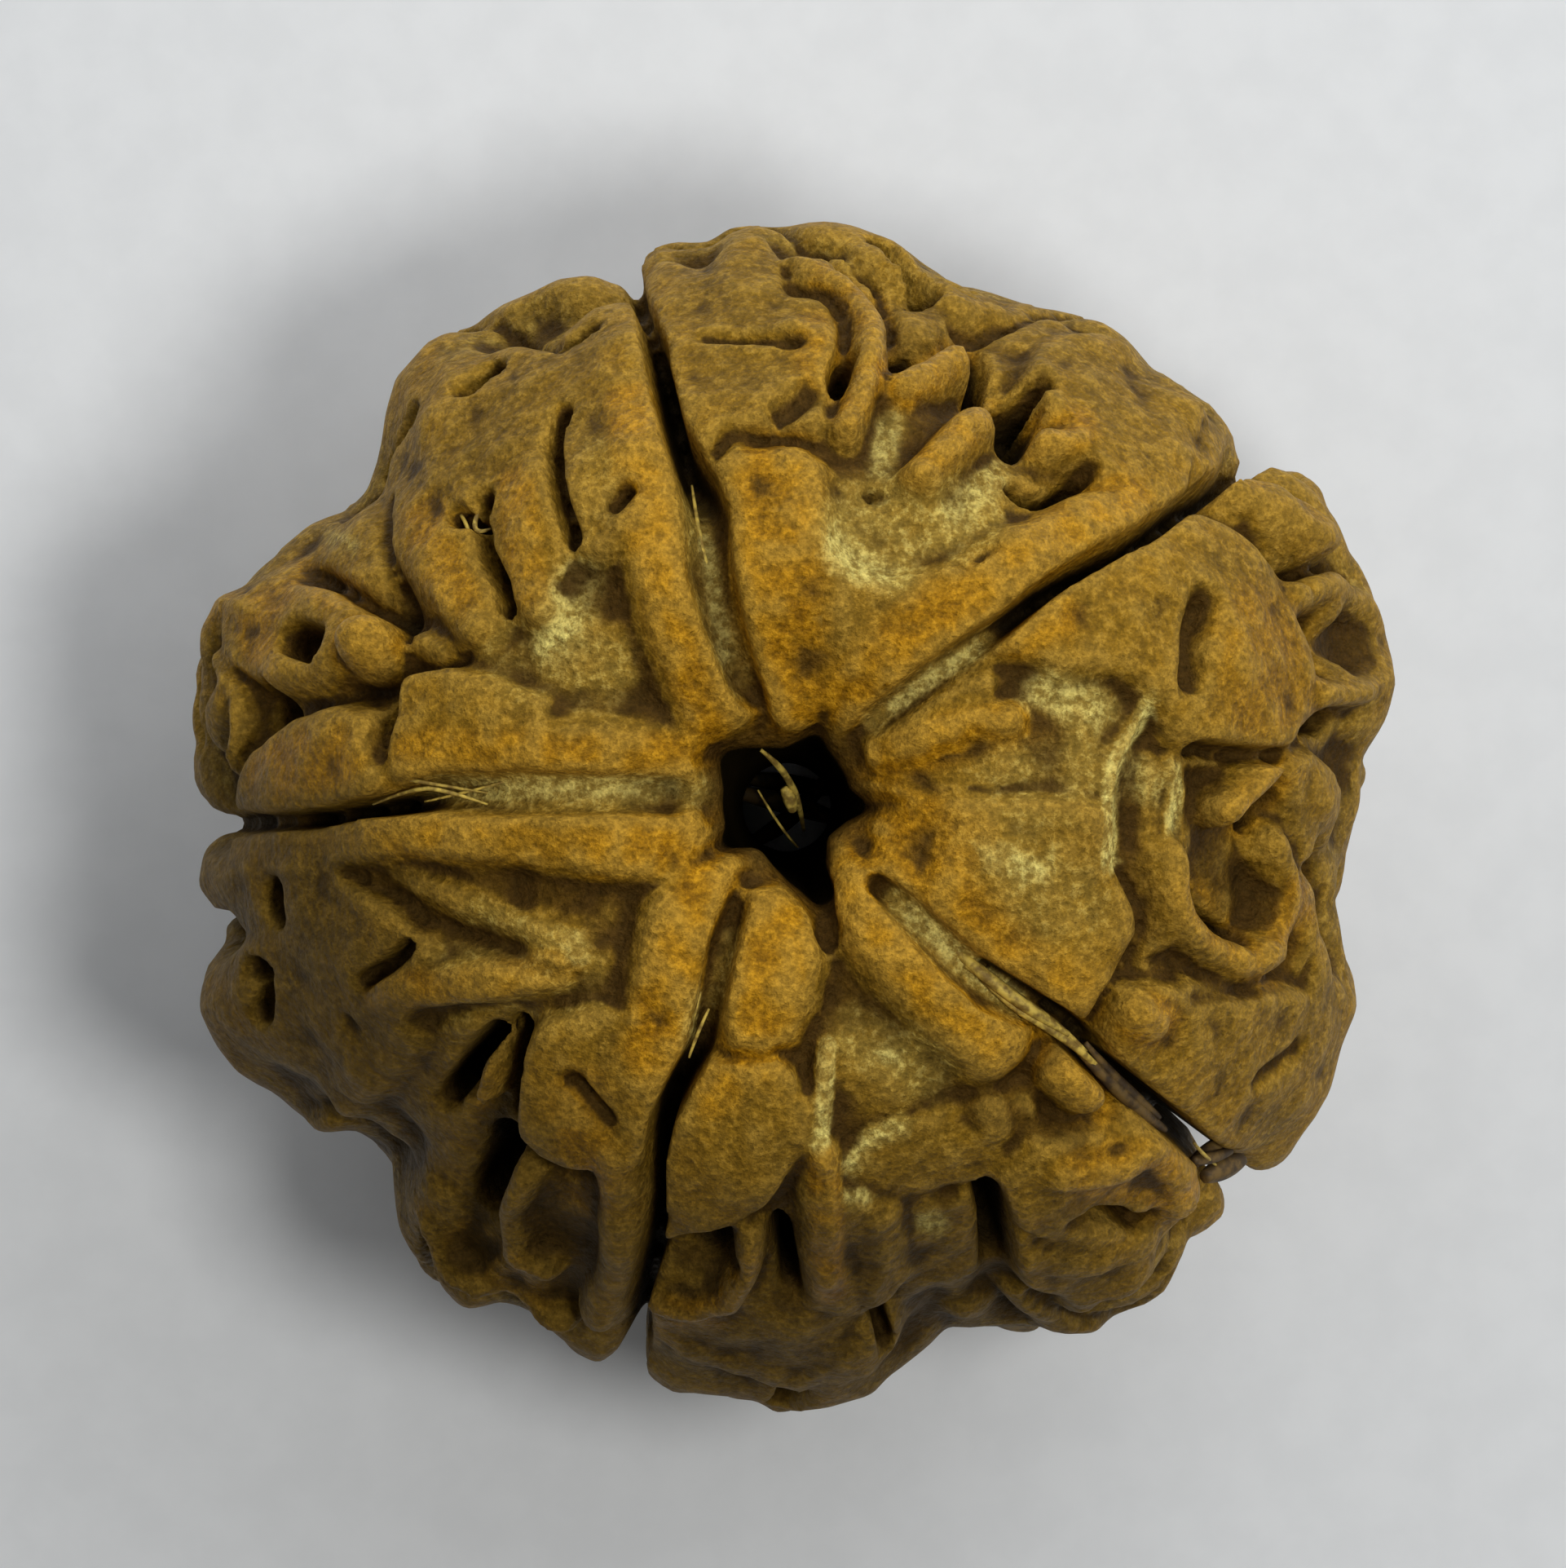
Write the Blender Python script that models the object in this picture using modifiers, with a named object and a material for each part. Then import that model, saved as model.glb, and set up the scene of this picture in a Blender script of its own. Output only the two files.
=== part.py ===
"""A five-faced rudraksha bead: the ripe stone of one fruit, lying with its bore upright.

The bead is one grown piece. Its body is a turned section with the bore left open along the axis. The section
is swelled out to the lobed outline seen from above, and its surface is then raised and cut by strokes: ridges,
plates, a rim of knobs, grooves, pits and creases. The upper side is laid out stroke by stroke. The flanks and
the underside follow a seeded rule. Everything is worked in millimetres and turned into metres at the end.
+Z is up, azimuths are degrees from +X towards +Y, and (x, y) pairs are measured from the axis of the bore.
"""

import math
import random

import bmesh
import bpy
import numpy as np
from mathutils import Matrix, Vector, noise

MM = 0.001

# Resolution of the solid
TURN_STEPS = 420
SECTION_POINTS = 260
VOXEL = 0.17
SMOOTHING_PASSES = 3
TRIANGLES = 11500

# The turned section as (radius, height above the equator): the skin, level with the crests of the ridges, from
# the upper mouth of the bore outwards and under to the lower mouth, then the bore from there back up
SKIN = [
    (1.3, 7.0), (1.55, 7.7), (2.15, 8.15), (3.4, 8.45), (5.0, 8.25), (6.6, 7.5), (8.0, 6.1), (9.2, 4.2), (9.95, 2.1),
    (10.2, 0.0), (9.9, -2.1), (9.1, -4.2), (7.8, -6.0), (6.3, -7.3), (4.6, -8.1), (3.0, -8.4), (1.9, -8.1),
    (1.15, -7.3),
]
BORE = [(0.85, -6.0), (0.78, -3.0), (0.82, 0.0), (0.95, 2.4), (1.15, 4.5), (1.27, 6.0)]
SKIN_RADIUS = 10.2

# The outline seen from above, knobs and notches included, clockwise from the top left
RIM = [
    (-2.75, 9.2), (-3.4, 9.3), (-4.0, 9.25), (-4.5, 9.0), (-5.0, 8.8), (-5.5, 8.4), (-5.9, 8.35), (-6.3, 8.15),
    (-6.6, 7.8), (-6.85, 7.5), (-7.0, 7.0), (-7.1, 6.5), (-7.2, 6.0), (-7.35, 5.6), (-7.8, 5.2), (-8.4, 4.95),
    (-8.8, 4.6), (-9.2, 4.2), (-9.6, 3.85), (-10.0, 3.7), (-10.25, 3.1), (-10.35, 2.3), (-10.45, 1.0),
    (-10.35, 0.3), (-10.2, 0.05), (-9.8, -0.3), (-10.2, -0.7), (-10.3, -1.35), (-10.1, -1.7), (-9.8, -2.3),
    (-10.2, -2.8), (-10.3, -3.5), (-10.0, -4.15), (-9.6, -4.65), (-9.0, -5.0), (-8.5, -5.5), (-8.2, -5.7),
    (-7.6, -5.65), (-7.3, -5.8), (-7.0, -6.1), (-6.9, -6.9), (-6.8, -7.4), (-6.6, -7.8), (-6.0, -8.6),
    (-5.6, -8.8), (-5.0, -8.65), (-4.5, -8.9), (-3.8, -9.5), (-3.3, -9.75), (-2.75, -9.45), (-2.5, -9.95),
    (-2.0, -10.25), (-1.5, -10.32), (-0.6, -10.4), (-0.2, -10.6), (0.2, -10.65), (0.9, -10.45), (1.5, -10.3),
    (2.1, -9.75), (2.5, -9.4), (2.8, -9.1), (3.6, -9.2), (4.5, -9.2), (5.0, -9.25), (5.4, -9.2), (5.7, -8.9),
    (6.3, -8.7), (6.6, -8.5), (7.0, -7.7), (7.7, -7.1), (7.7, -6.4), (8.4, -6.45), (8.8, -6.1), (9.2, -5.5),
    (9.5, -5.0), (9.7, -4.2), (10.0, -3.5), (9.9, -2.7), (9.65, -1.7), (9.8, -0.8), (10.15, 0.1), (10.15, 0.8),
    (10.4, 1.35), (10.7, 2.1), (10.6, 2.6), (10.4, 3.4), (10.1, 4.1), (9.6, 4.9), (9.2, 5.4), (8.8, 5.75),
    (8.3, 5.9), (7.95, 5.9), (7.85, 6.5), (7.4, 7.15), (6.5, 7.65), (5.9, 8.25), (5.5, 8.5), (4.5, 8.75),
    (3.4, 9.05), (3.0, 9.25), (2.4, 9.5), (2.1, 9.8), (1.2, 10.2), (0.7, 10.27), (0.0, 10.17), (-0.5, 10.25),
    (-1.0, 10.15), (-1.3, 9.95), (-2.3, 9.85), (-2.6, 9.6),
]
RIM_EASE_DEGREES = 9.0
RIM_HEIGHT = 4.5
RIM_MIDDLE = 0.6
RIM_SECTORS = 240
RIM_FILL = 0.6
RIM_BELT = 1.3
LOBED_FROM = 3.0
LOBED_FULLY = 8.5

# The mouth of the bore as (azimuth, radius): five arms point at the middles of the faces
STAR = [
    (37, 1.05), (68, 1.6), (102, 1.1), (139, 1.45), (176, 1.05), (211, 1.6), (240, 0.95), (293, 1.85),
    (318, 0.85), (355, 1.6),
]
STAR_REACH = 2.6
STAR_DEPTH = 4.5

# Levels are millimetres above the floor of the deepest hollows. The crests stand at the skin.
CREST = 0.95
MIDDLE_LEVEL = 0.42
OUTER_LEVEL = 0.12
MIDDLE_REACH = (5.2, 7.4)
BAND_LEVEL = 0.3
BAND_MIDDLE = 2.0
BAND_REACH = 3.4
EDGE_SHARE = 0.7
MELTED = 0.22
CUT_DROP = 0.2

# The five grooves seen from above, from the mouth to the rim, as (x, y, width, depth under the crests)
GROOVES = {
    "north": [
        (-0.35, 1.5, 0.5, 0.5), (-0.75, 2.2, 0.65, 0.62), (-1.1, 3.2, 0.8, 0.75), (-1.35, 4.2, 0.9, 0.85),
        (-1.42, 5.2, 0.9, 1.0), (-1.6, 5.8, 0.75, 1.4), (-2.0, 6.7, 0.45, 2.1), (-2.2, 7.4, 0.42, 2.4),
        (-2.35, 8.2, 0.42, 2.2), (-2.5, 8.75, 0.3, 1.2), (-2.72, 9.3, 0.3, 0.9),
    ],
    "north_east": [
        (1.0, 1.1, 0.45, 0.4), (1.7, 1.6, 0.6, 0.6), (2.5, 2.2, 0.7, 0.68), (3.2, 2.75, 0.6, 0.8),
        (3.8, 3.2, 0.45, 1.2), (4.7, 3.95, 0.38, 1.9), (5.5, 4.45, 0.42, 2.2), (6.3, 4.85, 0.4, 2.2),
        (6.9, 5.3, 0.38, 1.9), (7.4, 5.7, 0.38, 1.8), (7.95, 5.95, 0.45, 1.5),
    ],
    "south_east": [
        (1.6, -1.35, 0.45, 0.5), (2.3, -2.0, 0.65, 0.65), (2.9, -2.6, 0.75, 0.7), (3.6, -3.2, 0.8, 0.75),
        (4.3, -3.6, 0.75, 0.8), (5.0, -4.0, 0.65, 1.0), (5.6, -4.6, 0.6, 1.3), (6.2, -5.1, 0.55, 1.8),
        (6.7, -5.5, 0.5, 2.8), (7.15, -5.9, 0.45, 2.8), (7.45, -6.15, 0.3, 0.5), (7.8, -6.45, 0.45, 1.3),
    ],
    "south": [
        (-0.65, -0.9, 0.45, 0.4), (-0.85, -1.6, 0.5, 0.55), (-1.1, -2.4, 0.55, 0.65), (-1.3, -3.3, 0.55, 0.8),
        (-1.5, -4.2, 0.55, 1.1), (-1.9, -4.9, 0.5, 1.6), (-2.2, -5.5, 0.45, 2.1), (-2.35, -6.2, 0.42, 2.3),
        (-2.32, -7.2, 0.4, 2.3), (-2.45, -8.0, 0.4, 2.2), (-2.65, -8.7, 0.42, 1.8), (-2.72, -9.5, 0.5, 1.6),
    ],
    "west": [
        (-1.2, 0.15, 0.6, 0.45), (-2.0, 0.2, 0.75, 0.58), (-3.5, 0.25, 0.85, 0.65), (-5.0, 0.25, 0.9, 0.7),
        (-6.2, 0.25, 0.75, 0.9), (-7.0, 0.05, 0.45, 1.5), (-7.5, -0.02, 0.36, 2.1), (-8.2, -0.18, 0.34, 2.1),
        (-9.0, -0.28, 0.32, 1.3), (-9.8, -0.3, 0.4, 1.1),
    ],
}

# Broad plates of the upper side: (level, width of the sloping edge, outline seen from above)
PLATES = [
    # North face: the mound that forks from the mouth, the corner plate, the big outer lump and two low floors
    (0.95, 0.8, [(-0.3, 1.3), (-0.75, 2.2), (-1.1, 3.2), (-1.35, 4.2), (-1.42, 5.2), (-1.5, 5.9), (-1.0, 6.35),
                 (0.25, 6.35), (0.7, 6.0), (0.75, 5.3), (0.8, 4.7), (1.15, 4.2), (1.8, 4.0), (2.8, 4.3), (3.8, 4.85),
                 (4.6, 5.25), (5.3, 5.6), (6.1, 5.75), (7.2, 5.9), (7.2, 5.5), (6.3, 4.85), (5.5, 4.45), (4.0, 3.4),
                 (3.3, 2.8), (2.5, 2.2), (1.7, 1.6), (0.9, 1.0)]),
    (0.92, 0.4, [(-2.6, 9.4), (-2.2, 9.65), (-1.6, 9.55), (-1.0, 9.7), (-0.4, 9.82), (-0.05, 9.6), (0.0, 9.05),
                 (0.7, 8.9), (1.0, 8.5), (0.9, 7.9), (0.75, 7.5), (0.65, 6.9), (0.6, 6.45), (-0.5, 6.6), (-1.0, 6.3),
                 (-1.4, 6.0), (-2.0, 6.7), (-2.3, 7.6), (-2.5, 8.6)]),
    (0.98, 0.6, [(4.2, 7.3), (4.4, 8.3), (5.2, 8.25), (6.0, 8.0), (6.7, 7.5), (7.3, 6.8), (7.5, 6.0), (7.0, 5.7),
                 (6.2, 5.5), (5.4, 5.9), (5.2, 6.5), (4.7, 6.9)]),
    (0.45, 0.8, [(0.6, 4.6), (1.2, 4.0), (3.0, 4.4), (4.6, 5.5), (3.6, 6.3), (2.4, 7.0), (1.8, 7.3), (1.0, 6.8),
                 (0.5, 6.2)]),
    (0.5, 0.5, [(3.5, 7.5), (3.4, 8.4), (4.2, 8.6), (4.5, 7.6)]),
    # East face: the big lump, the speckled plate, the smooth far corner and the floors between them
    (0.98, 0.8, [(3.7, 2.8), (4.3, 3.7), (5.5, 4.45), (6.3, 4.9), (6.9, 5.3), (7.4, 5.2), (8.0, 4.9), (8.5, 4.3),
                 (8.9, 3.7), (9.2, 3.0), (9.35, 2.3), (9.25, 1.6), (8.9, 1.1), (8.3, 0.9), (7.5, 1.0), (6.9, 1.2),
                 (6.5, 1.9), (5.8, 2.4), (4.8, 2.35)]),
    (0.88, 0.7, [(1.3, 0.5), (2.5, 0.3), (3.6, 0.2), (4.8, 0.2), (5.6, 0.0), (5.7, -1.0), (6.1, -1.8), (6.15, -2.2),
                 (5.9, -2.7), (5.7, -3.1), (5.2, -3.8), (4.3, -3.6), (3.6, -3.2), (2.8, -2.5), (2.1, -1.8),
                 (1.4, -1.1)]),
    (0.5, 0.8, [(3.8, 0.4), (3.9, 2.3), (5.5, 2.3), (6.4, 1.6), (5.8, 0.6), (5.4, 0.2)]),
    (0.5, 0.5, [(6.3, 1.0), (7.0, 0.9), (7.1, -0.6), (6.8, -2.4), (6.3, -2.6), (6.2, -1.0)]),
    (0.85, 0.4, [(8.75, 0.8), (9.4, 1.0), (9.9, 0.2), (9.7, -0.8), (9.1, -1.0), (8.9, -0.3)]),
    (0.87, 0.7, [(6.5, -3.0), (7.8, -3.2), (9.3, -3.2), (9.9, -4.2), (9.4, -5.5), (8.6, -6.3), (7.7, -6.1),
                 (6.7, -5.3), (5.9, -4.7), (5.7, -3.9)]),
    # North-west face: the outer plate with its dome, the slab along the west groove and the lumps at the rim
    (0.92, 0.7, [(-7.1, 4.6), (-7.3, 5.5), (-7.2, 6.5), (-7.1, 7.2), (-6.6, 7.9), (-5.9, 8.2), (-4.3, 8.15),
                 (-3.3, 8.8), (-2.5, 8.8), (-2.1, 7.2), (-1.9, 6.4), (-2.2, 5.5), (-2.6, 4.7), (-3.2, 4.3),
                 (-3.8, 4.4), (-4.2, 3.6), (-5.0, 3.4), (-5.6, 3.6), (-6.3, 3.6)]),
    (0.45, 0.8, [(-1.6, 2.0), (-5.6, 2.4), (-5.4, 3.6), (-4.2, 4.4), (-2.6, 5.0)]),
    (0.86, 0.4, [(-4.2, 0.4), (-6.9, 0.4), (-7.05, 1.0), (-6.85, 1.6), (-6.8, 2.35), (-6.0, 2.5), (-5.0, 2.3),
                 (-4.2, 1.9)]),
    (0.82, 1.0, [(-1.2, 0.1), (-5.5, 0.1), (-5.5, 1.8), (-4.0, 1.55), (-3.0, 1.5), (-2.0, 1.5), (-1.4, 1.5)]),
    (1.0, 0.5, [(-9.8, 0.2), (-9.4, 1.0), (-8.7, 1.6), (-8.0, 1.8), (-7.45, 1.65), (-7.2, 1.1), (-7.05, 0.5),
                (-7.3, -0.1), (-9.0, -0.25), (-9.8, -0.2)]),
    (0.85, 0.5, [(-9.4, 4.0), (-8.8, 4.8), (-7.9, 5.2), (-7.2, 5.5), (-7.1, 4.3), (-7.4, 3.9), (-8.2, 4.2)]),
    (0.92, 0.45, [(-9.7, 3.4), (-8.9, 4.05), (-8.0, 3.9), (-7.5, 3.5), (-7.9, 2.5), (-8.5, 2.15), (-9.2, 2.1),
                  (-9.7, 2.6)]),
    # South-west face: the bank of the west groove, the outer mass, the lump by the south groove and low floors
    (0.92, 0.6, [(-10.0, -0.1), (-8.5, -0.1), (-7.0, 0.1), (-3.4, 0.1), (-1.4, 0.0), (-1.1, -0.9), (-2.2, -1.3),
                 (-3.5, -1.2), (-5.0, -1.0), (-6.4, -0.9), (-7.6, -1.0), (-8.4, -1.3), (-9.8, -1.3)]),
    (0.9, 0.55, [(-10.2, -0.8), (-8.0, -0.9), (-7.4, -1.3), (-6.6, -2.1), (-6.2, -2.6), (-6.6, -3.8), (-6.9, -4.6),
                 (-8.3, -5.3), (-9.6, -4.7), (-10.3, -3.5), (-9.7, -2.4), (-10.3, -1.4)]),
    (0.97, 0.5, [(-4.3, -3.8), (-4.75, -4.5), (-4.85, -5.1), (-4.7, -5.8), (-4.3, -6.2), (-3.6, -6.4), (-2.5, -6.3),
                 (-2.2, -5.4), (-1.6, -4.4), (-2.3, -3.6), (-3.4, -3.5)]),
    (0.4, 0.8, [(-1.8, -1.4), (-6.8, -1.0), (-6.5, -2.2), (-4.0, -3.6), (-2.6, -3.4)]),
    (0.5, 0.7, [(-8.2, -4.3), (-8.3, -5.4), (-7.0, -5.9), (-6.9, -7.3), (-5.7, -7.2), (-5.6, -5.4), (-5.7, -4.2),
                (-5.0, -3.6), (-7.0, -3.7)]),
    (0.4, 0.4, [(-4.6, -6.4), (-4.6, -8.2), (-3.2, -8.6), (-3.0, -6.4)]),
    # South face: the tongue, the slab, the ledge, the columns, the big outer lump and low floors
    (1.05, 0.55, [(0.05, -1.2), (0.5, -1.9), (0.6, -2.6), (0.5, -3.4), (0.15, -4.05), (-0.4, -4.3), (-1.0, -4.2),
                  (-1.15, -3.4), (-0.95, -2.4), (-0.65, -1.4)]),
    (0.92, 0.4, [(-1.5, -4.4), (-0.7, -4.45), (-0.1, -4.4), (0.4, -5.0), (0.5, -5.7), (0.0, -6.5), (-0.4, -7.1),
                 (-1.0, -7.4), (-1.6, -7.5), (-2.2, -7.7), (-2.3, -6.9), (-2.2, -6.0), (-2.05, -5.2)]),
    (0.4, 0.6, [(0.5, -3.6), (1.4, -3.3), (3.4, -4.8), (1.6, -5.6), (0.6, -6.0)]),
    (0.58, 0.45, [(1.0, -6.2), (1.5, -5.65), (2.4, -5.35), (3.5, -5.0), (4.3, -5.0), (4.6, -6.0), (4.0, -6.5),
                  (3.0, -6.6), (2.0, -6.9), (1.2, -6.9)]),
    (0.82, 0.5, [(0.25, -6.3), (1.2, -6.7), (2.0, -7.1), (2.2, -8.3), (1.6, -9.0), (0.4, -8.9)]),
    (0.55, 0.6, [(1.9, -6.9), (3.3, -6.7), (3.4, -8.4), (3.2, -9.2), (2.0, -9.2)]),
    (1.0, 0.6, [(3.75, -6.6), (4.0, -7.3), (3.9, -7.9), (4.2, -8.45), (5.0, -8.6), (5.7, -8.4), (6.2, -8.0),
                (6.8, -7.4), (7.3, -6.9), (7.3, -6.3), (6.9, -5.8), (6.2, -5.5), (5.3, -5.7), (4.4, -5.9)]),
    (0.6, 0.6, [(-2.4, -8.0), (-0.6, -8.6), (1.8, -8.8), (2.2, -9.4), (0.6, -10.2), (-1.5, -10.0), (-2.5, -9.4)]),
]

# Ridges with sloping sides, on the upper side: (level, width, points seen from above)
RIDGES = [
    # North face
    (0.85, 1.1, [(5.0, 8.6), (4.0, 8.7), (3.1, 8.9), (2.3, 9.3)]),
    (0.75, 1.1, [(-2.3, 9.75), (-1.2, 9.85), (-0.5, 10.0), (0.7, 10.0), (1.5, 9.7), (2.2, 9.3)]),
    (0.85, 1.3, [(7.3, 6.0), (7.4, 6.8)]),
    # East face
    (0.75, 1.6, [(1.4, 0.5), (2.6, 0.7), (3.6, 0.9)]),
    (0.7, 0.5, [(1.7, 1.35), (2.6, 1.75), (3.5, 2.15)]),
    (0.68, 0.34, [(6.3, 1.9), (6.1, 1.4), (5.75, 0.9), (5.6, 0.3), (5.65, -0.4), (5.6, -1.0)]),
    (0.62, 0.34, [(6.75, 0.7), (6.8, 0.2), (6.7, -0.4)]),
    (0.9, 1.6, [(8.2, 5.4), (9.1, 4.6)]),
    (0.9, 1.4, [(9.4, 0.3), (9.5, 0.35)]),
    (0.85, 1.3, [(9.4, -2.6), (9.5, -3.4)]),
    # North-west face
    (1.0, 1.7, [(-1.2, 1.4), (-1.6, 2.4), (-1.95, 3.4), (-2.3, 4.6), (-2.55, 6.2), (-2.85, 7.6), (-3.0, 8.7)]),
    (0.98, 0.95, [(-4.65, 6.0), (-4.7, 5.4), (-4.65, 4.8), (-4.5, 4.2), (-4.35, 3.5)]),
    (0.95, 1.0, [(-6.5, 5.2), (-6.25, 4.4), (-5.9, 3.7), (-5.5, 3.2)]),
    (1.02, 1.9, [(-6.0, 6.7), (-5.9, 6.0)]),
    (0.9, 1.4, [(-5.7, 8.6), (-4.6, 8.95), (-3.6, 9.15)]),
    # South-west face
    (1.0, 1.7, [(-1.35, -0.8), (-1.75, -1.8), (-2.05, -2.8), (-2.3, -3.8), (-2.5, -4.6)]),
    (0.92, 1.0, [(-7.0, -3.3), (-6.0, -3.15), (-5.0, -3.05), (-4.2, -2.9)]),
    (0.65, 0.7, [(-6.8, -1.15), (-5.5, -1.7), (-4.6, -2.1), (-3.7, -2.5)]),
    (0.9, 1.3, [(-6.8, -4.1), (-7.6, -4.9)]),
    # South face
    (1.03, 1.75, [(0.95, -0.9), (1.3, -1.7), (2.0, -2.6), (2.8, -3.45), (3.6, -4.15)]),
    (0.75, 0.42, [(0.7, -4.2), (0.65, -4.8), (0.65, -5.4), (0.58, -5.9)]),
    (0.75, 0.9, [(1.2, -9.4), (0.2, -9.9), (-1.2, -9.7), (-2.1, -9.3)]),
    (0.85, 0.8, [(4.1, -8.7), (4.7, -8.95), (5.5, -8.8), (6.2, -8.35), (6.8, -7.7)]),
    (1.25, 0.9, [(4.8, -6.35), (5.7, -6.2), (6.3, -5.95), (6.7, -6.3), (6.8, -6.9)]),
    (1.15, 0.9, [(4.3, -7.9), (5.2, -7.9), (6.2, -7.5)]),
]

# Pegs, fingers and loops with upright sides, on the upper side: (level, width, points seen from above)
PEGS = [
    # North face
    (1.12, 0.85, [(0.1, 9.5), (0.6, 9.35), (1.15, 9.1), (1.5, 8.7), (1.55, 8.25), (1.45, 7.85)]),
    (1.12, 0.78, [(1.05, 6.65), (1.25, 7.1), (1.42, 7.5)]),
    (1.12, 0.85, [(2.05, 7.42), (2.55, 7.65), (3.0, 7.95)]),
    (1.2, 1.0, [(2.4, 5.85), (2.9, 6.35), (3.35, 6.75)]),
    (1.05, 1.0, [(4.65, 6.5), (5.1, 6.5)]),
    (1.08, 1.15, [(0.1, 8.35), (0.4, 8.3)]),
    # East face
    (0.98, 1.0, [(1.5, 0.85), (2.4, 1.2), (3.3, 1.45), (3.85, 1.5)]),
    (0.95, 0.9, [(6.95, -0.9), (6.9, -1.5), (7.1, -2.0), (7.6, -2.5), (8.2, -2.75), (8.7, -2.5), (8.95, -2.0),
                 (9.0, -1.3), (8.8, -0.7)]),
    (1.05, 0.75, [(7.8, -0.1), (8.2, 0.3), (8.6, 0.75)]),
    (1.05, 0.78, [(9.0, 3.75), (9.65, 3.9), (10.15, 3.45), (10.4, 2.8), (10.35, 2.2), (9.9, 1.95), (9.4, 1.95)]),
    (1.2, 1.15, [(6.15, -3.6), (6.4, -3.8)]),
    # North-west face
    (1.45, 1.4, [(-7.42, 2.92), (-7.35, 2.95)]),
    (0.7, 0.8, [(-6.6, 3.0), (-6.0, 2.85)]),
    (0.9, 0.5, [(-9.8, 2.6), (-9.6, 2.0), (-9.6, 1.3), (-9.7, 0.7)]),
    # South-west face
    (0.95, 0.42, [(-5.38, -5.15), (-5.28, -4.75), (-5.15, -4.35)]),
    (1.0, 0.65, [(-6.3, -7.2), (-5.9, -7.8), (-5.2, -8.3), (-4.5, -8.75), (-3.9, -9.0)]),
    (1.05, 1.05, [(-3.1, -6.0), (-2.98, -6.8), (-2.95, -7.7), (-3.05, -8.4), (-3.35, -8.9)]),
    (1.0, 0.75, [(-4.65, -6.55), (-4.9, -7.15), (-4.75, -7.85), (-4.25, -8.2)]),
    # South face
    (1.0, 0.8, [(0.62, -6.1), (0.75, -6.8), (0.8, -7.6), (0.75, -8.3)]),
    (1.05, 0.7, [(-2.3, -8.75), (-1.6, -8.85), (-1.0, -8.7), (-0.72, -8.2), (-0.66, -7.6)]),
    (0.9, 0.7, [(1.6, -7.3), (1.75, -8.1), (1.45, -8.7)]),
    (1.1, 1.15, [(4.95, -4.75), (5.25, -5.05)]),
    (0.85, 0.95, [(3.6, -5.4), (3.7, -5.7)]),
]

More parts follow.
